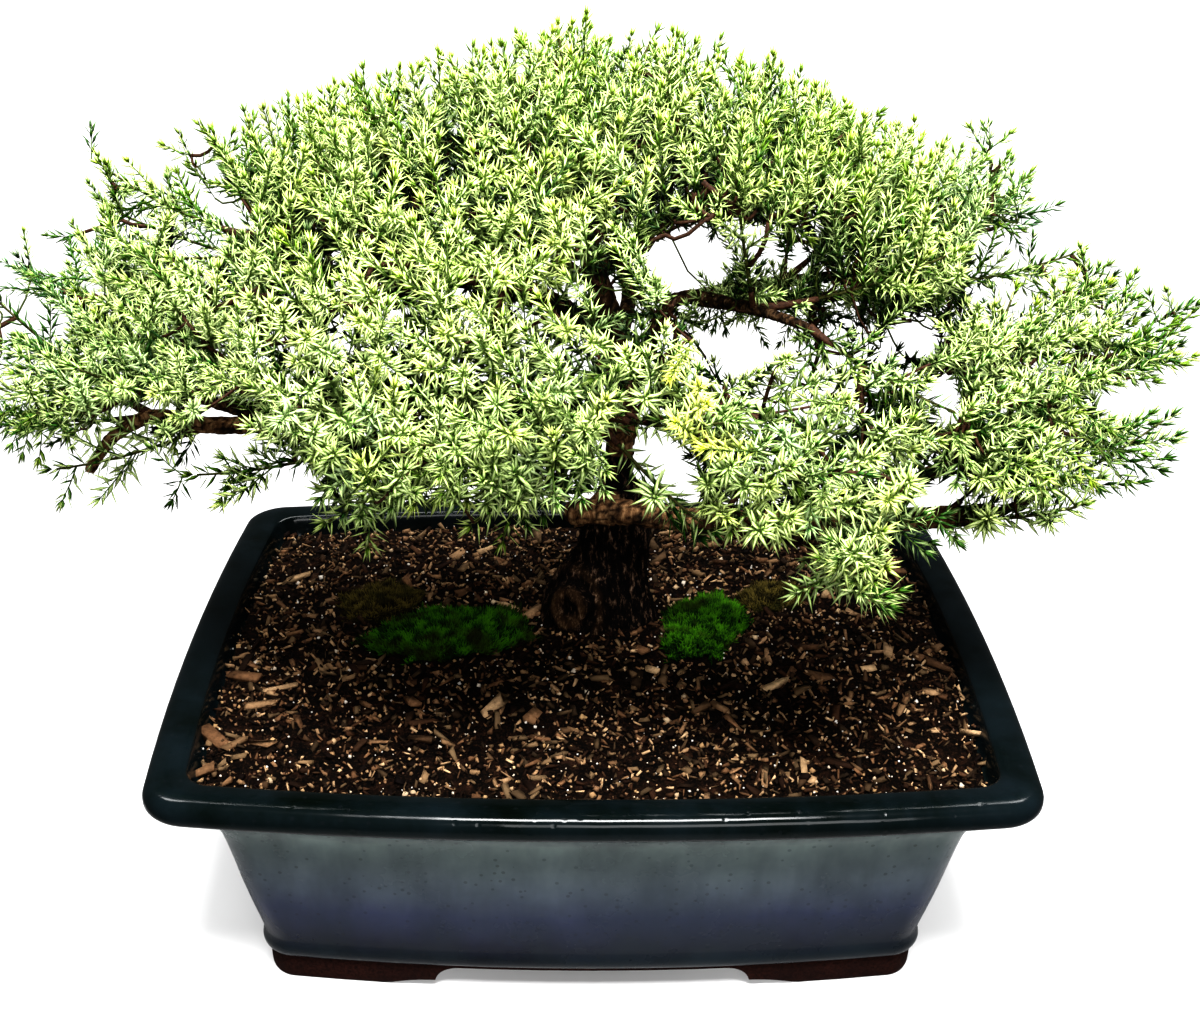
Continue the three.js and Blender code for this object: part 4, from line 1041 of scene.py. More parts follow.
def add_moss(node, seed, material, blade_length, density):
    centre_x, centre_y, long, short, turn, height = MOSS[node]
    rng = np.random.default_rng(seed)
    c, s = math.cos(math.radians(turn)), math.sin(math.radians(turn))

    def place(share, angle):
        wobble = 0.98 + 0.13 * np.sin(2 * angle + seed) + 0.1 * np.sin(5 * angle + 2 * seed)
        wobble += 0.06 * np.sin(11 * angle + seed) + 0.04 * np.sin(23 * angle)
        along = long * share * wobble * np.cos(angle)
        across = short * share * wobble * np.sin(angle)
        return centre_x + along * c - across * s, centre_y + along * s + across * c

    def lifted(x, y, share):
        tuft = np.array([0.8 * noise.noise(Vector((a * 0.3, b * 0.3, seed))) for a, b in zip(x, y)])
        return soil_top(x, y) + moss_height(height, share) * (0.84 + 0.6 * tuft)

    angles = circle_angles(MOSS_SIDES)
    rings = []
    for share in (0.4, 0.97):
        x, y = place(share, angles)
        rings.append(np.column_stack([x, y, soil_top(x, y) - 0.6]))
    for share in MOSS_RINGS:
        x, y = place(share, angles)
        z = lifted(x, y, share) - (0.7 if share == 1.0 else 0.25)
        rings.append(np.column_stack([x, y, z]))
    cushion = loft(rings)
    count = int(density * math.pi * long * short)
    share = np.sqrt(rng.uniform(0, 1.0, count)) * (1 + 0.12 * rng.uniform(0, 1, count) ** 3)
    angle = rng.uniform(0, TURN, count)
    x, y = place(share, angle)
    z = lifted(x, y, np.minimum(share, 1)) - 0.5
    base = np.column_stack([x, y, z])
    lean = np.column_stack([x - centre_x, y - centre_y, np.zeros(count)]) / long * 0.8
    heading = unit(lean + rng.normal(0, 0.42, (count, 3)) + UP)
    reach = blade_length * rng.uniform(0.6, 1.25, (count, 1))
    side = unit(np.cross(heading, rng.normal(0, 1, (count, 3))))
    other = np.cross(heading, side)
    width = blade_length * BLADE_WIDTH
    corners = np.stack([
        base + side * width,
        base - 0.5 * side * width + 0.87 * other * width,
        base - 0.5 * side * width - 0.87 * other * width,
        base + heading * reach,
    ], 1)
    blades = copies(corners, np.array([(0, 2, 1), (0, 1, 3), (1, 2, 3), (2, 0, 3)]))
    name = f"{node}_tufts"
    mesh = make_mesh(name, *merged([cushion, blades]))
    # Tone from clumps: high on tufts for painted highlight, low between them for painted shade.
    clump = np.array([noise.noise(Vector((a * 0.35, b * 0.35, seed + 5))) for a, b in zip(x, y)])
    tone = np.repeat(np.clip(0.34 + 1.7 * clump + rng.normal(0, 0.18, count), 0, 1), 4)
    along = np.tile([0.15, 0.15, 0.15, 1.0], count)
    colours = np.zeros((len(mesh.vertices), 4))
    colours[len(cushion[0]):, 0] = along
    colours[len(cushion[0]):, 1] = tone
    colours[:, 3] = 1
    set_tint(mesh, colours)
    add_piece(mesh, name, [material], [node])


# The wood.
def smooth_line(controls, steps):
    """A uniform Catmull-Rom line through (x, y, z, radius) controls, the radii going straight."""
    controls = np.array(controls, float)
    points = controls[:, :3]
    ends = np.vstack([2 * points[0] - points[1], points, 2 * points[-1] - points[-2]])
    made = []
    for span in range(len(points) - 1):
        p0, p1, p2, p3 = ends[span:span + 4]
        closing = 1 if span == len(points) - 2 else 0
        for step in range(steps + closing):
            t = step / steps
            place = p1 + 0.5 * (p2 - p0) * t
            place = place + (p0 - 2.5 * p1 + 2 * p2 - 0.5 * p3) * t ** 2
            place = place + 0.5 * (3 * p1 - p0 - 3 * p2 + p3) * t ** 3
            radius = controls[span, 3] + (controls[span + 1, 3] - controls[span, 3]) * t
            made.append([*place, radius])
    return np.array(made)


def limb_line(controls):
    """The limb as the part's source steps it: rings about so far apart."""
    fine = smooth_line(controls, 24)[:, :3]
    length = np.linalg.norm(np.diff(fine, axis=0), axis=1).sum()
    spans = len(controls) - 1
    return smooth_line(controls, max(1, math.floor(length / spans / LIMB_RING_GAP + 0.5)))


def across_line(points):
    """Two directions across a line at each of its points, carried along it without twist."""
    along = unit(np.gradient(points, axis=0))
    across = np.cross(along[0], UP if abs(along[0][2]) < 0.9 else np.array([1.0, 0, 0]))
    firsts = []
    for direction in along:
        across = unit(across - direction * (across @ direction))
        firsts.append(across)
    firsts = np.array(firsts)
    return firsts, np.cross(along, firsts)


def tube(points, radii, sides):
    first, second = across_line(points)
    angles = circle_angles(sides)
    spokes = np.cos(angles)[None, :, None] * first[:, None]
    spokes = spokes + np.sin(angles)[None, :, None] * second[:, None]
    return loft(points[:, None] + np.asarray(radii)[:, None, None] * spokes)


def flare_ring(z, sides):
    angles = circle_angles(sides)
    lobe = 1 + 0.07 * np.cos(3 * angles + 0.6) + 0.05 * np.cos(5 * angles + 2)
    x = BASE_X + BASE_HALF_X * lobe * np.cos(angles)
    y = BASE_Y + BASE_HALF_Y * lobe * np.sin(angles)
    return np.column_stack([x, y, np.full(sides, z)])


def trunk_rings(sides):
    rings = [flare_ring(STEM_BOTTOM, sides), flare_ring(soil_top(BASE_X, BASE_Y) - 1, sides)]
    angles = circle_angles(sides)
    lobe = 0.07 * np.cos(3 * angles + 0.6) + 0.05 * np.cos(5 * angles + 2)
    levels = np.array(TRUNK, float)
    for z in np.concatenate([np.arange(57, 84, 1.5), np.arange(84, 121.1, 1.5)]):
        x, y, half_x, half_y = (np.interp(z, levels[:, 0], levels[:, k]) for k in (1, 2, 3, 4))
        fade = max(0.25, 1 - (z - 55) / 22)
        ring_x = x + half_x * (1 + lobe * fade) * np.cos(angles)
        ring_y = y + half_y * (1 + lobe * fade) * np.sin(angles)
        rings.append(np.column_stack([ring_x, ring_y, np.full(sides, z)]))
    return rings


def sphere(centre, radius, rows=8, sides=16):
    rings = []
    angles = circle_angles(sides)
    for row in range(1, rows):
        turn = math.pi * row / rows
        ring = np.column_stack([np.cos(angles), np.sin(angles), np.zeros(sides)])
        ring *= math.sin(turn) * radius
        rings.append(ring + centre + [0, 0, -math.cos(turn) * radius])
    return loft(rings)


def add_wood(material, limbs):
    parts = [loft(trunk_rings(TRUNK_SIDES)), sphere(LUMP_PLACE, LUMP_RADIUS)]
    for limb in limbs:
        parts.append(tube(limb[:, :3], limb[:, 3], LIMB_SIDES))
    obj = add_object(make_mesh("wood", *merged(parts)), "wood")
    remesh = obj.modifiers.new("remesh", "REMESH")
    remesh.mode = "VOXEL"
    remesh.voxel_size = WOOD_VOXEL * MM
    mesh = applied(obj, "trunk_and_limbs")
    points = vertex_array(mesh)
    normals = np.empty(len(points) * 3, np.float32)
    mesh.vertices.foreach_get("normal", normals)
    normals = normals.reshape(-1, 3)
    samples = np.concatenate(limbs)
    limb_index = np.concatenate([np.full(len(limb), i) for i, limb in enumerate(limbs)])
    steps = [np.linalg.norm(np.diff(limb[:, :3], axis=0), axis=1) for limb in limbs]
    run = np.concatenate([np.concatenate([[0], np.cumsum(step)]) for step in steps])
    tree = KDTree(len(samples))
    for i, sample in enumerate(samples):
        tree.insert(Vector(sample[:3]), i)
    tree.balance()
    limb_tone_and_knot_highlight = np.zeros(len(points))
    plate = np.ones(len(points))
    shift = np.zeros(len(points))
    for i, point in enumerate(points):
        _, near, distance = tree.find(Vector(point))
        radius = samples[near, 3]
        is_limb = 1.0 if distance < radius * 1.7 + 0.6 else 0.0
        if limb_index[near] > LAST_PALE_LIMB:
            is_limb *= THIN_LIMB_TONE
        low = point[2] < TRUNK_BARK_TOP and not (limb_index[near] == 0 and run[near] > 11)
        is_limb = 0.0 if low else is_limb
        limb_tone_and_knot_highlight[i] = is_limb
        flake = FLAKE_STEPS * noise.turbulence(Vector(point * FLAKE_SCALE), 4, True)
        stepped = math.floor(flake) / FLAKE_STEPS + 0.3 * (flake % 1) ** 4
        grain = noise.noise(Vector(point) * 0.9)
        if is_limb > 0.3:
            size = 0.26 if radius > 2.4 else 0.4
            distances, _ = noise.voronoi(Vector(point * size * CRACK_STRETCH))
            edge = distances[1] - distances[0]
            plate[i] = min(1.0, edge * 3)
            shift[i] = min(radius, 3) * (0.09 * min(1, edge * 3) - 0.1 + 0.07 * grain)
        else:
            shift[i] = 1.5 * (stepped - 0.42) + 0.25 * grain
            ring = np.linalg.norm((point - KNOT_PLACE) * KNOT_STRETCH)
            if ring < KNOT_RADIUS:
                fade = 1 - (ring / KNOT_RADIUS) ** 2
                shift[i] += fade * (0.9 + 1.1 * math.cos(ring * KNOT_RIPPLE))
                plate[i] = min(1.0, 0.25 + abs(math.cos(0.5 * ring * KNOT_RIPPLE)))
                # On the knot's ridges the limbs' lighter colour is a painted highlight; the grooves
                # between the rings are darker.
                limb_tone_and_knot_highlight[i] = 0.3 * fade * max(0.0, math.cos(ring * KNOT_RIPPLE))
    points = points + normals * shift[:, None]
    mesh.vertices.foreach_set("co", ((points + POT_CENTRE) * MM).astype(np.float32).ravel())
    cut = np.zeros(len(points))
    for index, reach in CUT_LIMBS:
        end = limbs[index][-1, :3]
        outward = unit(limbs[index][-1, :3] - limbs[index][-2, :3])
        near_end = np.linalg.norm(points - end, axis=1) < limbs[index][-1, 3] * 1.6 + 0.5
        cut[near_end & ((points - end) @ outward > -reach)] = 1
    set_tint(mesh, np.column_stack([limb_tone_and_knot_highlight, cut, plate, np.ones(len(points))]))
    shade_smooth(mesh)
    add_piece(mesh, "trunk_and_limbs", [material], ["trunk"])


# The leafy shoots.
def twig_point(root, tip, share):
    low = (root + tip) / 2 - UP * TWIG_SAG * np.linalg.norm(tip - root)
    share = np.asarray(share)[..., None]
    return (1 - share) ** 2 * root + 2 * share * (1 - share) * low + share ** 2 * tip


def twig_axes(root, tip):
    """Along a twig, level across it, and upward across it."""
    along = unit(tip - root)
    level = unit(np.cross(along, UP))
    return along, level, np.cross(level, along)


def cad_twig(number, limbs, wood_tree):
    """The root of a CAD spray's twig: the best candidate whose twig lies on the CAD wood."""
    tip = SPRAY_TIPS[number]
    roots = []
    for limb in limbs:
        for i in range(math.ceil(len(limb) * FIRST_ROOT), len(limb)):
            reach = tip - limb[i, :3]
            along = unit(limb[i, :3] - limb[i - 1, :3])
            length = np.linalg.norm(reach)
            cost = abs(length - TWIG_LENGTH) + ROOT_TURN_COST * (1 - unit(reach) @ along)
            roots.append((cost, length, limb[i, :3]))
    roots.sort(key=lambda entry: entry[0])
    best, best_gap = None, 1e9
    for _, length, root in roots[:ROOT_TRIES]:
        leaf_length = min(MAIN_LENGTH, length - TIP_LENGTH - 5)
        leaf_end = 1 - TIP_LENGTH / length
        leaf_start = leaf_end - leaf_length / length
        middle = twig_point(root, tip, leaf_start / 2)
        gap = distance_to(wood_tree, middle)
        if gap < best_gap:
            best, best_gap = (root, leaf_start, leaf_end, leaf_length), gap
        if gap < ROOT_GAP:
            break
    return (*best, tip)


def whorl_shares(length):
    """Where a shoot's plain and leafy stretches meet, as shares of its length."""
    whorls = max(2, math.floor(length / WHORL_SPACING + 0.5))
    bare = 1 - WHORL_ROOT / WHORL_SPACING
    ends = [((i + bare) / whorls, (i + 1) / whorls) for i in range(whorls)]
    return np.array([0.0, *[share for pair in ends for share in pair]])


def cad_spray(number):
    return f"spray_{number + 1:02d}"


def cad_side_shoots(number, root, tip, main_points, leaf_length, spray_tree):
    """The side shoots of a CAD spray, each along the swing that lies on the CAD's needles."""
    along, level, rise = twig_axes(root, tip)
    shoots = []
    for k in range(SIDE_SHOOTS):
        share = 0.15 + 0.6 * k / SIDE_SHOOTS
        length = SIDE_LENGTH * (1.1 - 0.5 * share) * min(1, 0.45 + leaf_length / 60)
        at = main_points[max(1, math.floor(share * (len(main_points) - 1) + 0.5))]
        best, best_gap = None, 1e9
        for swing in (0, 0.7, -0.7, 1.4, -1.4):
            turn = number + k * GOLDEN_ANGLE + swing
            out = level * math.cos(turn) + rise * 0.75 * math.sin(turn)
            heading = unit(along * math.cos(SIDE_LEAN) + out * math.sin(SIDE_LEAN))
            end = at + heading * length + UP * SHOOT_RISE * length
            gap = distance_to(spray_tree, end)
            if gap < best_gap:
                best, best_gap = heading, gap
            if gap < 1.0:
                break
        rise_part = UP * SHOOT_RISE * length * FROM_BASE ** 2
        shoots.append(at + best * length * FROM_BASE + rise_part)
    return shoots


class Foliage:
    """The leafy shoots and bare stems that make up one spray."""

    def __init__(self):
        self.shoots = []
        self.stems = []

    def add_shoot(self, points, needle, tone, fine=True):
        self.shoots.append((np.asarray(points, float), needle, tone, fine))
        self.add_stem(points[::2], STEM_SHARE * needle, 0.8)

    def add_stem(self, points, radius, young):
        self.stems.append((np.asarray(points, float), radius, young))


def needle_length(place):
    """Needles are longest low at the front of the crown and shortest at its top and back."""
    high = np.clip((place[2] - LOW_NEEDLES) / NEEDLE_RISE, 0, 1)
    back = np.clip((place[1] - FRONT_NEEDLES) / NEEDLE_DEPTH, 0, 1)
    return LONG_NEEDLE - (LONG_NEEDLE - SHORT_NEEDLE) * min(1, 0.8 * high + 0.4 * back)


def resampled(points, spacing):
    lengths = np.concatenate([[0], np.cumsum(np.linalg.norm(np.diff(points, axis=0), axis=1))])
    count = max(2, int(round(lengths[-1] / spacing)))
    at = np.linspace(0, lengths[-1], count + 1)
    return np.column_stack([np.interp(at, lengths, points[:, k]) for k in range(3)]), lengths[-1]


def needles_on(rng, points, needle, tone, fine):
    """Every needle of a shoot as a row: base, direction, inner normal, length and tone."""
    line, length = resampled(points, needle * (WHORL_SHARE if fine else COARSE_WHORL_SHARE))
    first, second = across_line(line)
    along = unit(np.gradient(line, axis=0))
    count = len(line) - 1
    steps = np.arange(1, count + 1)
    near_tip = np.exp(-length * (1 - steps / count) / (0.6 * needle))
    lean = NEEDLE_LEAN + LEAN_GAIN * (needle - SHORT_NEEDLE)
    turn = (np.arange(3) + 0.5 * (steps[:, None] % 2)) * TURN / 3 + 0.06 * steps[:, None]
    turn = turn + rng.normal(0, 0.22, (count, 3))
    tilt = lean - 0.35 * near_tip[:, None] + rng.normal(0, 0.14, (count, 3))
    reach = needle * (1 - 0.25 * near_tip[:, None]) * rng.uniform(0.8, 1.12, (count, 3))
    at = np.repeat(steps, 3)
    turn, tilt, reach = turn.ravel(), tilt.ravel(), reach.ravel()
    at = np.concatenate([at, np.full(BUD_NEEDLES, count)])
    turn = np.concatenate([turn, np.arange(BUD_NEEDLES) * GOLDEN_ANGLE])
    tilt = np.concatenate([tilt, np.linspace(0.05, 0.75, BUD_NEEDLES)])
    reach = np.concatenate([reach, needle * np.linspace(0.7, 0.65, BUD_NEEDLES)])
    out = first[at] * np.cos(turn)[:, None] + second[at] * np.sin(turn)[:, None]
    heading = along[at] * np.cos(tilt)[:, None] + out * np.sin(tilt)[:, None]
    inner = along[at] * np.sin(tilt)[:, None] - out * np.cos(tilt)[:, None]
    dark, youth, cool = tone
    young = np.minimum(1, youth * (0.4 + np.exp(-length * (1 - at / count) / (0.9 * needle))))
    flat = np.column_stack([young, np.full(len(at), dark), np.full(len(at), cool)])
    return np.column_stack([line[at], heading, inner, reach, flat])


def needle_mesh(rng, rows, fine):
    """Needles whose inner face is pale along its middle. The coarse ones are plain spikes."""
    base, heading, inner = rows[:, 0:3], rows[:, 3:6], rows[:, 6:9]
    reach, youth, dark, cool = rows[:, 9:10], rows[:, 10], rows[:, 11], rows[:, 12]
    wide = np.cross(heading, inner)
    tip = base + heading * reach + inner * reach * rng.uniform(-0.04, 0.1, (len(rows), 1))
    if fine:
        half = NEEDLE_WIDTH / 2 * reach * rng.uniform(0.85, 1.2, (len(rows), 1))
        waist = base + heading * reach * 0.38
        corners = [base, waist + wide * half, waist - wide * half, waist + inner * 0.25 * half, tip]
        faces = [(0, 1, 3), (0, 3, 2), (4, 3, 1), (4, 2, 3), (0, 2, 1), (4, 1, 2)]
        pale_shares, sides = [0.15, 0.0, 0.0, 1.0, 0.55], [0, 0, 0, 0, 1, 1]
    else:
        half = COARSE_NEEDLE_WIDTH / 2 * reach
        corners = [base + wide * half, base - wide * half, base - inner * 0.8 * half, tip]
        faces = [(0, 1, 2), (3, 1, 0), (3, 0, 2), (3, 2, 1)]
        pale_shares, sides = [0.3, 0.3, 0.0, 0.6], [1, 0, 1, 1]
    corners = np.stack(corners, 1)
    points, all_faces = copies(corners, np.array(faces))
    colours = np.zeros((len(rows), len(pale_shares), 4), np.float32)
    shade = np.clip(dark + rng.normal(0, 0.1, len(rows)), 0, 1)
    colours[..., 0] = shade[:, None]
    colours[..., 1] = pale_shares
    colours[..., 2] = youth[:, None]
    colours[..., 3] = cool[:, None]
    return points, all_faces, np.tile(sides, len(rows)), colours.reshape(-1, 4)


# Where the crown's shoots may grow.
def polygon_test(points, polygon):
    """Whether each point lies inside, and its distance to the polygon's nearest edge."""
    points, polygon = np.atleast_2d(points), np.asarray(polygon, float)
    start, end = polygon, np.roll(polygon, -1, axis=0)
    step = end - start
    x, y = points[:, 0:1], points[:, 1:2]
    crosses = (start[:, 1] > y) != (end[:, 1] > y)
    with np.errstate(divide="ignore", invalid="ignore"):
        meet = start[:, 0] + (y - start[:, 1]) / step[:, 1] * step[:, 0]
    inside = np.sum(crosses & (x < meet), axis=1) % 2 == 1
    away = points[:, None, :] - start
    share = np.clip(np.sum(away * step, 2) / np.sum(step * step, 1), 0, 1)
    distance = np.linalg.norm(away - share[..., None] * step, axis=2).min(1)
    return inside, distance


def hole_distance(pixels):
    """From the nearest point to the nearest white gap of the crown, or 0 inside one."""
    nearest = 1e9
    for hole in CROWN_HOLES:
        inside, distance = polygon_test(pixels, hole)
        nearest = min(nearest, 0.0 if inside.any() else distance.min())
    return nearest


def crown_allows(line, margin):
    """Whether a shoot stays inside the crown as the photograph shows it, and out of its gaps."""
    pixels = photo_pixels(line)
    inside, distance = polygon_test(pixels, CROWN_OUTLINE)
    beyond_edge = (pixels[:, 0] < 0) & (pixels[:, 1] > LEFT_TOP) & (pixels[:, 1] < LEFT_BOTTOM)
    if not np.all((inside & (distance > margin)) | beyond_edge):
        return False
    near_gap = np.all((pixels > HOLE_REGION[0]) & (pixels < HOLE_REGION[1]), axis=1)
    return not near_gap.any() or hole_distance(pixels[near_gap]) > HOLE_MARGIN


def outward_from_spine(place):
    """Away from the crown's middle line, mostly upward."""
    across = np.clip(place[0], -SPINE_REACH, SPINE_REACH) * SPINE_SHARE
    middle = np.array([across, SPINE_Y, SPINE_Z])
    return unit(place - middle)


def in_reach(points):
    """Whether points stay inside the solids' own box, with some of a needle's length to spare."""
    low = np.array(cad_low) / MM - POT_CENTRE + NEEDLE_SPARE
    high = np.array(cad_high) / MM - POT_CENTRE - NEEDLE_SPARE
    return bool(np.all(points > low) and np.all(points < high))


def place_behind(pixel, depth):
    """The point with that y that the photograph's camera sees at a pixel."""
    across = (pixel[0] - PHOTO_WIDTH / 2) / FOCAL_PIXELS
    down = (pixel[1] - PHOTO_HEIGHT / 2) / FOCAL_PIXELS
    ray = camera_forward + camera_right * across - camera_up * down
    return CAMERA_PLACE + ray * (depth - CAMERA_PLACE[1]) / ray[1]


def nearest_tip(pixel):
    """The tip of the spray that stands nearest to a pixel in the photograph."""
    return SPRAY_TIPS[np.argmin(np.linalg.norm(TIP_PIXELS - pixel, axis=1))]


def arched(base, tip, rise):
    """A shoot's points from its base to its tip, bowed downwards on the way."""
    part = FROM_BASE
    return base + (tip - base) * part - UP * rise * np.linalg.norm(tip - base) * part * (1 - part) * 4


def outline_shoots(rng):
    """The shoots that stand out along the crown's outline, each at the depth of the spray by it."""
    shoots = []
    for tip_across, tip_down, base_across, base_down in OUTLINE_SHOOTS:
        pixel = np.array([tip_across, tip_down])
        depth = nearest_tip(pixel)[1] + rng.uniform(-5, 5)
        tip = place_behind(pixel, depth)
        base = place_behind((base_across, base_down), depth + 0.12 * (15 - depth))
        tip = tip - unit(tip - base) * 0.6 * needle_length(tip)
        line = arched(base, tip, 0.08)
        if in_reach(line):
            shoots.append((line, rng.uniform(0.0, 0.2)))
        length = np.linalg.norm(tip - base)
        if length < SPRIG_LENGTH:
            continue
        for share, side in ((0.3, -1), (0.5, 1), (0.68, -1)):
            at = base + (tip - base) * share
            out = side * camera_right + rng.normal(0, 0.5, 3)
            end = at + unit(unit(tip - base) + 0.9 * out) * rng.uniform(5, 8) * (1.2 - 0.6 * share)
            side_line = arched(at, end, 0.05)
            if in_reach(side_line):
                shoots.append((side_line, rng.uniform(0.0, 0.2)))
    return shoots


def bridge_shoots(rng):
    """The small dark shoots on the arched limb between the crown's two large gaps."""
    shoots = []
    for tip_across, tip_down, base_across, base_down in BRIDGE_SHOOTS:
        depth = BRIDGE_DEPTH + rng.uniform(-5, 5)
        tip = place_behind((tip_across, tip_down), depth)
        base = place_behind((base_across, base_down), depth + rng.uniform(-2, 6))
        tip = tip - unit(tip - base) * 0.5 * SHORT_NEEDLE
        shoots.append((arched(base, tip, 0.05), rng.uniform(0.05, 0.6)))
    return shoots


def limb_shoots(rng, limbs):
    """Dark shoots inside the crown, straight on its thinner limbs; their darkness is partly older
    needles, partly painted shade.
    """
    shoots = []
    for index in LEAFY_LIMBS:
        line, _ = resampled(limbs[index][:, :3], LIMB_SHOOT_GAP)
        along = unit(np.gradient(line, axis=0))
        for step in range(len(line) // 3, len(line)):
            for _ in range(2):
                heading = unit(np.cross(along[step], rng.normal(0, 1, 3)) + 0.5 * along[step])
                tip = line[step] + heading * rng.uniform(9, 17)
                shoot = arched(line[step], tip, 0.05)
                if crown_allows(shoot, OUTLINE_MARGIN) and in_reach(shoot):
                    shoots.append((shoot, rng.uniform(0.6, 0.95)))
    return shoots


def veil_shoots(rng, limbs):
    """Shoots that hide the front of the limb that crosses the crown's gaps."""
    shoots = []
    line, _ = resampled(limbs[VEILED_LIMB][:, :3], 2.2)
    for place in line[line[:, 0] > VEIL_START]:
        for _ in range(2):
            heading = unit(rng.normal(0, 1, 3) * (0.8, 0.4, 1) - (0, 1, 0))
            tip = place + heading * rng.uniform(7, 11)
            shoots.append((arched(place, tip, 0.05), rng.uniform(0.05, 0.6)))
    return shoots


def fill_crown(rng, shoots):
    """Adds leafy shoots between and behind the sprays' tips, as (line, darkness)."""
    gaps = np.linalg.norm(SPRAY_TIPS[:, None] - SPRAY_TIPS[None], axis=2)
    nearest = np.argsort(gaps, axis=1)[:, 1:7]
    taken = np.array([line[-1] for line, _ in shoots])
    # Deeper layers are darker: partly older needles, partly painted shade.
    for low, high, spacing, tries, spread, dark in CROWN_LAYERS:
        for _ in range(tries):
            i = rng.integers(len(SPRAY_TIPS))
            j, k = rng.choice(nearest[i], 2, replace=False)
            weights = rng.dirichlet((1, 1, 1))
            place = weights @ SPRAY_TIPS[[i, j, k]]
            outward = outward_from_spine(place)
            bulge = 0.12 * gaps[j, k] * (1 - np.sum(weights ** 2))
            place = place + outward * (bulge - rng.uniform(low, high))
            if np.min(np.sum((taken - place) ** 2, 1)) < spacing ** 2:
                continue
            lift = 0.25 * np.clip((place[2] - 120) / 35, -0.6, 1)
            heading = unit(outward + UP * lift + rng.normal(0, spread, 3))
            bend = rng.normal(0, 0.12, 3) + UP * 0.06
            for length in (rng.uniform(*SHOOT_LENGTH), SHORT_SHOOT):
                line = place + heading * length * TO_TIP - 0.6 * bend * length * TO_TIP ** 2
                if crown_allows(line, OUTLINE_MARGIN) and in_reach(line):
                    taken = np.vstack([taken, place])
                    shoots.append((line, dark + rng.uniform(-0.12, 0.12)))
                    break
    return shoots


def cover_gaps(rng, shoots, leafy_lines):
    """Adds short shoots wherever the floor would show through the crown from the front."""
    outline = np.array(CROWN_OUTLINE, float)
    covered = photo_pixels(np.concatenate([line for line, _ in shoots] + leafy_lines))
    for gap, low, high, tone in COVER_PASSES:
        across = np.arange(outline[:, 0].min(), outline[:, 0].max(), 0.6 * gap)
        down = np.arange(outline[:, 1].min(), outline[:, 1].max(), 0.6 * gap)
        grid = np.stack(np.meshgrid(across, down), 2).reshape(-1, 2)
        grid = grid + rng.uniform(-0.3 * gap, 0.3 * gap, grid.shape)
        grid = grid[polygon_test(grid, outline)[0]]
        for pixel in rng.permutation(grid):
            if np.min(np.sum((covered - pixel) ** 2, 1)) < gap ** 2:
                continue
            front = nearest_tip(pixel)[1]
            place = place_behind(pixel, front + (CROWN_MIDDLE - front) * rng.uniform(low, high))
            heading = unit(outward_from_spine(place) + rng.normal(0, 0.6, 3))
            for length in (rng.uniform(10, 15), SHORT_SHOOT):
                line = place + heading * length * TO_TIP
                if crown_allows(line, OUTLINE_MARGIN) and in_reach(line):
                    covered = np.vstack([covered, photo_pixels(line)])
                    shoots.append((line, tone + rng.uniform(-0.1, 0.1)))
                    break
    return shoots


def shoot_tone(rng, tip, dark):
    """How dark, how young and how blue a shoot is, by where it grows."""
    across, down = photo_pixels(tip)[0]
    # Shoots high in the crown are yellower and lighter: partly young growth, partly painted light
    # from above.
    youth = rng.uniform(0, 0.2) + 0.16 * np.clip((tip[2] - 150) / 30, 0, 1)
    if rng.uniform() < 0.08:
        youth = rng.uniform(0.2, 0.4)
    (middle_across, middle_down), (half_width, half_height) = YOUNG_PATCH
    young_patch = math.exp(-((across - middle_across) / half_width) ** 2
                           - ((down - middle_down) / half_height) ** 2)
    if tip[1] < 10 and rng.uniform() < 1.3 * young_patch:
        youth = rng.uniform(0.7, 1.0)
    cool = 0.0
    if across > BLUE_RIGHT and BLUE_TOP < down < BLUE_BOTTOM:
        cool = rng.uniform(0.4, 0.9)
    elif across < BLUE_LEFT and down < BLUE_LEFT_BOTTOM:
        cool = rng.uniform(0.2, 0.8)
    elif rng.uniform() < 0.15:
        cool = rng.uniform(0.1, 0.5)
    return dark, youth * (1 - dark), cool


def stem_between(place, base, heading, distance):
    """A bent stem that leaves its wood freely and meets a shoot's base along its heading."""
    control = base - heading * STEM_BEND * distance
    return np.vstack([place, quadratic(place, control, base, 3)])


def connect(bases, headings, network):
    """Joins each base to wood behind it, nearest first: {index: (line, shoots that it carries)}."""
    places = np.array(network)
    owners = [-1] * len(places)
    order = np.argsort([np.min(np.linalg.norm(places - base, axis=1)) for base in bases])
    links = {}
    for index in order:
        away = bases[index] - places
        distance = np.linalg.norm(away, axis=1) + 1e-6
        behind = away @ headings[index] / distance
        cost = distance * (1 + 0.7 * (1 - behind))
        candidates = np.argsort(cost)[:STEM_CHOICES]
        best = candidates[0]
        for candidate in candidates:
            line = stem_between(places[candidate], bases[index], headings[index],
                                distance[candidate])
            if hole_distance(photo_pixels(line)) > STEM_HOLE_MARGIN:
                best = candidate
                break
        line = stem_between(places[best], bases[index], headings[index], distance[best])
        links[index] = (line, owners[best])
        places = np.vstack([places, line[2:]])
        owners.extend([index] * (len(line) - 2))
    load = dict.fromkeys(links, 1)
    for index in order[::-1]:
        parent = links[index][1]
        if parent >= 0:
            load[parent] += load[index]
    return {index: (links[index][0], load[index]) for index in links}


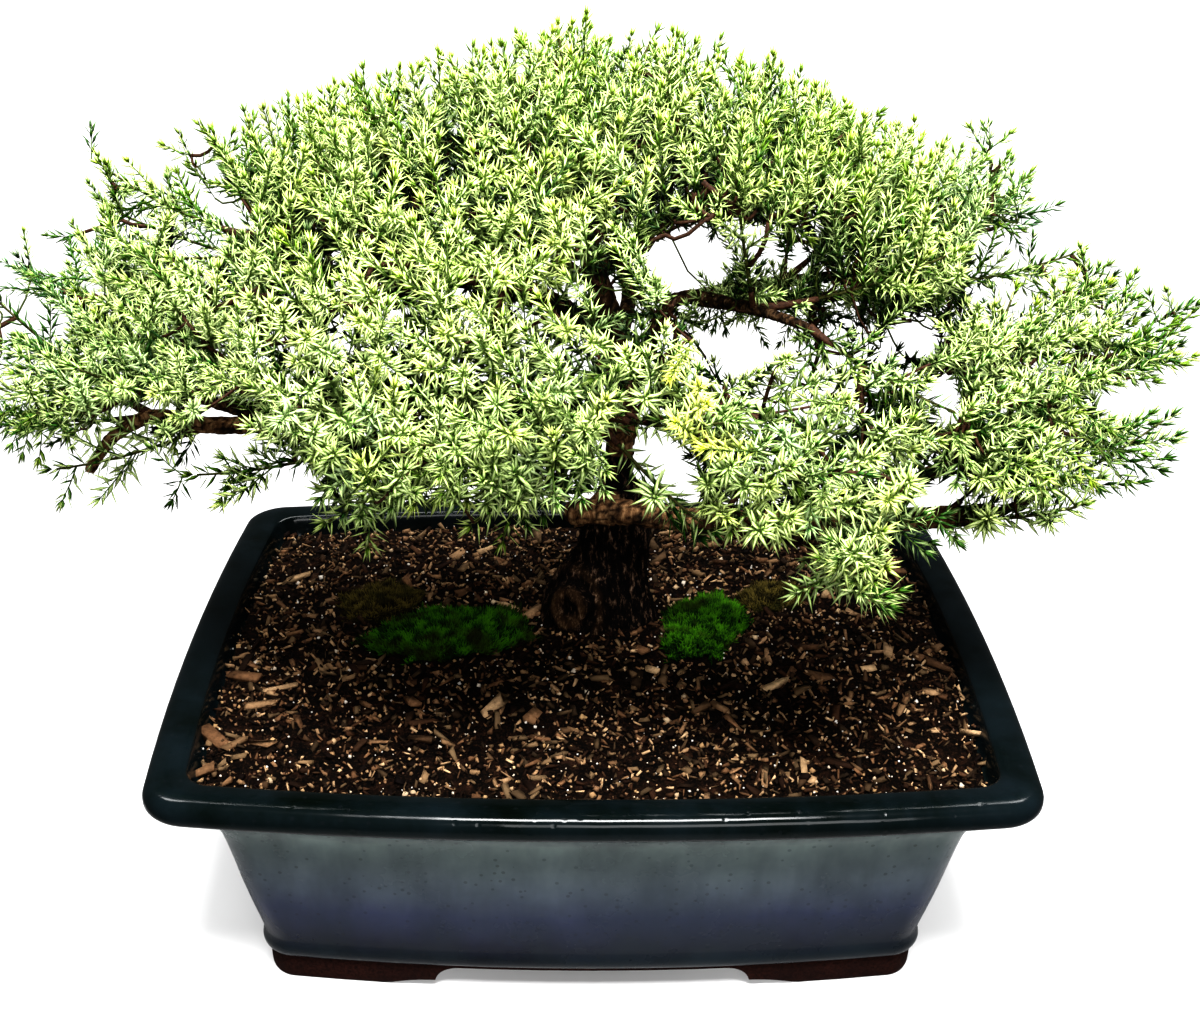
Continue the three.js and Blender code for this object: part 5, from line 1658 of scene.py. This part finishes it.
def dress_cad_spray(rng, number, spray, limbs, wood_tree):
    """The CAD spray's own shoots, with short ones between them. Gives its twig and its network."""
    root, leaf_start, leaf_end, leaf_length, tip = cad_twig(number, limbs, wood_tree)
    wood = twig_point(root, tip, np.linspace(0, leaf_start, 7))
    shares = leaf_start + (leaf_end - leaf_start) * whorl_shares(leaf_length)
    main_points = twig_point(root, tip, shares)
    needle = needle_length(tip)
    tone = shoot_tone(rng, tip, rng.uniform(0, 0.15))
    main = np.vstack([main_points, tip - unit(tip - main_points[-1]) * 0.6 * needle])
    spray.add_shoot(main, needle, tone)
    spray.add_stem(main_points, 0.5, 0.3)
    tree = tree_of(cad_spray(number))
    for shoot in cad_side_shoots(number, root, tip, main_points, leaf_length, tree):
        spray.add_shoot(shoot, needle, tone)
    along, level, rise = twig_axes(root, tip)
    for k in range(EXTRA_SHOOTS):
        share = 0.1 + 0.75 * k / EXTRA_SHOOTS
        at = twig_point(root, tip, leaf_start + (leaf_end - leaf_start) * share)
        turn = k * GOLDEN_ANGLE + number + 1.7
        out = level * math.cos(turn) + rise * 0.8 * math.sin(turn)
        heading = unit(along * math.cos(0.85) + out * math.sin(0.85) + rng.normal(0, 0.1, 3))
        length = rng.uniform(9, 15) * (1.15 - 0.55 * share)
        part = np.linspace(0, 1, 4)[:, None]
        line = at + heading * length * part + UP * 0.14 * length * part ** 2
        if in_reach(line) and crown_allows(line, EXTRA_MARGIN):
            spray.add_shoot(line, needle, tone)
    bare = np.linalg.norm(main_points[0] - root)
    outside = not crown_allows(main_points, 0)
    for k in range(int(bare / BARE_GAP) + (OUTSIDE_SHOOTS if outside else 0)):
        if k < bare / BARE_GAP:
            share = rng.uniform(0.25, 1.0) * leaf_start
        else:
            share = rng.uniform(leaf_start, 1)
        at = twig_point(root, tip, share)
        turn = rng.uniform(0, TURN)
        out = level * math.cos(turn) + rise * math.sin(turn)
        heading = unit(along * rng.uniform(0.3, 0.9) + out)
        line = arched(at, at + heading * rng.uniform(5, 10), 0.05)
        clear = hole_distance(photo_pixels(line)) > HOLE_MARGIN
        if in_reach(line) and (outside and clear or crown_allows(line, BARE_MARGIN)):
            spray.add_shoot(line, needle * 0.9, (rng.uniform(0.1, 0.5), 0.05, tone[2]))
    return wood, np.vstack([wood[2:], main_points[::2]])


def spray_mesh(rng, name, spray):
    parts, indices, colours = [], [], []
    for fine in (True, False):
        rows = [needles_on(rng, *shoot) for shoot in spray.shoots if shoot[3] == fine]
        if rows:
            points, faces, sides, tints = needle_mesh(rng, np.concatenate(rows), fine)
            parts.append((points, faces))
            indices.append(sides)
            colours.append(tints)
    for line, radius, young in spray.stems:
        core = tube(line, np.linspace(radius, radius * 0.6, len(line)), 3)
        parts.append(core)
        indices.append(np.full(len(core[1]), 2))
        colours.append(np.tile([young, young, young, 1.0], (len(core[0]), 1)))
    mesh = make_mesh(name, *merged(parts), np.concatenate(indices))
    set_tint(mesh, np.concatenate(colours))
    return mesh


def add_crown(limbs, pale, green, stem):
    rng = np.random.default_rng(CROWN_SEED)
    wood_tree = tree_of("trunk")
    sprays = [Foliage() for _ in SPRAY_TIPS]
    network = [limb[math.ceil(len(limb) * 0.25):, :3] for limb in limbs]
    twigs, young = [], []
    for number, spray in enumerate(sprays):
        wood, places = dress_cad_spray(rng, number, spray, limbs, wood_tree)
        network.append(places)
        twigs.append(tube(wood, np.linspace(1.19, 0.7, len(wood)), 6))
        young.append(0.0)
    own = outline_shoots(rng) + bridge_shoots(rng) + veil_shoots(rng, limbs)
    own = own + limb_shoots(rng, limbs)
    leafy_lines = [shoot[0] for spray in sprays for shoot in spray.shoots]
    shoots = cover_gaps(rng, fill_crown(rng, own), leafy_lines)
    bases = np.array([line[0] for line, _ in shoots])
    headings = unit(np.array([line[1] - line[0] for line, _ in shoots]))
    links = connect(bases, headings, np.concatenate(network))
    for index, (line, dark) in enumerate(shoots):
        spray = sprays[int(np.argmin(np.linalg.norm(SPRAY_TIPS - line[-1], axis=1)))]
        needle = needle_length(line[-1])
        # Shoots at the crown's left have shorter needles and are darker, the darkness as painted
        # shade on that side.
        if line[-1, 0] < FINE_LEFT:
            needle = 0.5 * (needle + SHORT_NEEDLE)
            dark += rng.uniform(0, 0.2)
        if hole_distance(photo_pixels(line)) < NEAR_HOLE:
            needle *= 0.85
        spray.add_shoot(line, needle, shoot_tone(rng, line[-1], dark), dark < COARSE_DARKNESS)
        stem_line, load = links[index]
        radius = min(1.2, 0.28 * load ** 0.38)
        twigs.append(tube(stem_line, np.full(len(stem_line), radius), 4 if load > 2 else 3))
        young.append(0.5 if load < 2 else 0.0)
    mesh = make_mesh("twigs", *merged(twigs))
    tint = np.concatenate([np.full(len(twig[0]), value) for twig, value in zip(twigs, young)])
    set_tint(mesh, np.column_stack([tint, tint, tint, np.ones(len(tint))]))
    shade_smooth(mesh)
    add_piece(mesh, "twigs", [stem])
    for number, spray in enumerate(sprays):
        name = f"needles_{number + 1:02d}"
        mesh = spray_mesh(rng, name, spray)
        add_piece(mesh, name, [pale, green, stem], [cad_spray(number)])


# Light and floor.
def add_area(name, place, width, depth, energy):
    data = bpy.data.lights.new(name, "AREA")
    data.shape = "RECTANGLE"
    data.size, data.size_y = width, depth
    data.energy = energy
    light = bpy.data.objects.new(name, data)
    turn = (Vector(LIGHT_TARGET) - Vector(place)).to_track_quat("-Z", "Y")
    light.matrix_world = Matrix.Translation(place) @ turn.to_matrix().to_4x4()
    bpy.context.scene.collection.objects.link(light)


def add_surroundings():
    world = bpy.data.worlds.new("white")
    world.use_nodes = True
    tree = world.node_tree
    tree.nodes["Background"].inputs["Color"].default_value = (1, 1, 1, 1)
    ray = tree.nodes.new("ShaderNodeLightPath")
    strength = tree.nodes.new("ShaderNodeMapRange")
    strength.inputs["To Min"].default_value = WORLD_STRENGTH
    strength.inputs["To Max"].default_value = BACKDROP_STRENGTH
    tree.links.new(ray.outputs["Is Camera Ray"], strength.inputs["Value"])
    tree.links.new(strength.outputs["Result"], tree.nodes["Background"].inputs["Strength"])
    bpy.context.scene.world = world
    view = bpy.context.scene.view_settings
    view.view_transform = "Standard"
    view.look = "High Contrast"
    half = FLOOR_SIZE / 2
    corners = [(-half, -half, 0), (half, -half, 0), (half, half, 0), (-half, half, 0)]
    floor = add_object(make_mesh("floor", corners, [(0, 1, 2, 3)]), "floor")
    floor.data.materials.append(floor_material())
    for light in LIGHTS:
        add_area(*light)


add_pot(glaze_material(), clay_material())
plastic = plastic_material()
for node in ("drain_screen_left", "drain_screen_right"):
    for material_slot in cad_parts[node].material_slots:
        material_slot.material = plastic
add_soil(soil_material())
add_litter(chip_material(), grit_material())
# The live moss's very dark greens are partly its own colour, partly painted shade under the crown.
live = moss_material("live_moss", (0.0008, 0.005, 0.0004), (0.006, 0.04, 0.0015),
                     (0.075, 0.24, 0.007))
dry = moss_material("dry_moss", (0.006, 0.005, 0.001), (0.025, 0.021, 0.004), (0.13, 0.1, 0.025))
add_moss("moss_left", 3, live, 2.2, 9)
add_moss("moss_right", 4, live, 2.2, 9)
add_moss("moss_dry_left", 5, dry, 1.8, 8)
add_moss("moss_dry_right", 6, dry, 1.8, 8)
limb_lines = [smooth_line(controls, 8) for controls in LIMBS]
for index, share in SLIM_LIMBS.items():
    limb_lines[index][:, 3] *= share
add_wood(bark_material(), limb_lines)
pale = needle_material("needle_pale", (0.06, 0.24, 0.01), (0.68, 0.85, 0.3), (0.94, 1.0, 0.66),
                       (0.005, 0.022, 0.002), (0.93, 0.97, 0.2), (0.6, 0.88, 0.52))
green = needle_material("needle_green", (0.014, 0.09, 0.003), (0.05, 0.2, 0.008),
                        (0.22, 0.44, 0.05), (0.001, 0.006, 0.001), (0.45, 0.62, 0.04),
                        (0.03, 0.14, 0.06))
add_crown([limb_line(controls) for controls in LIMBS], pale, green, stem_material())
add_surroundings()
add_camera()
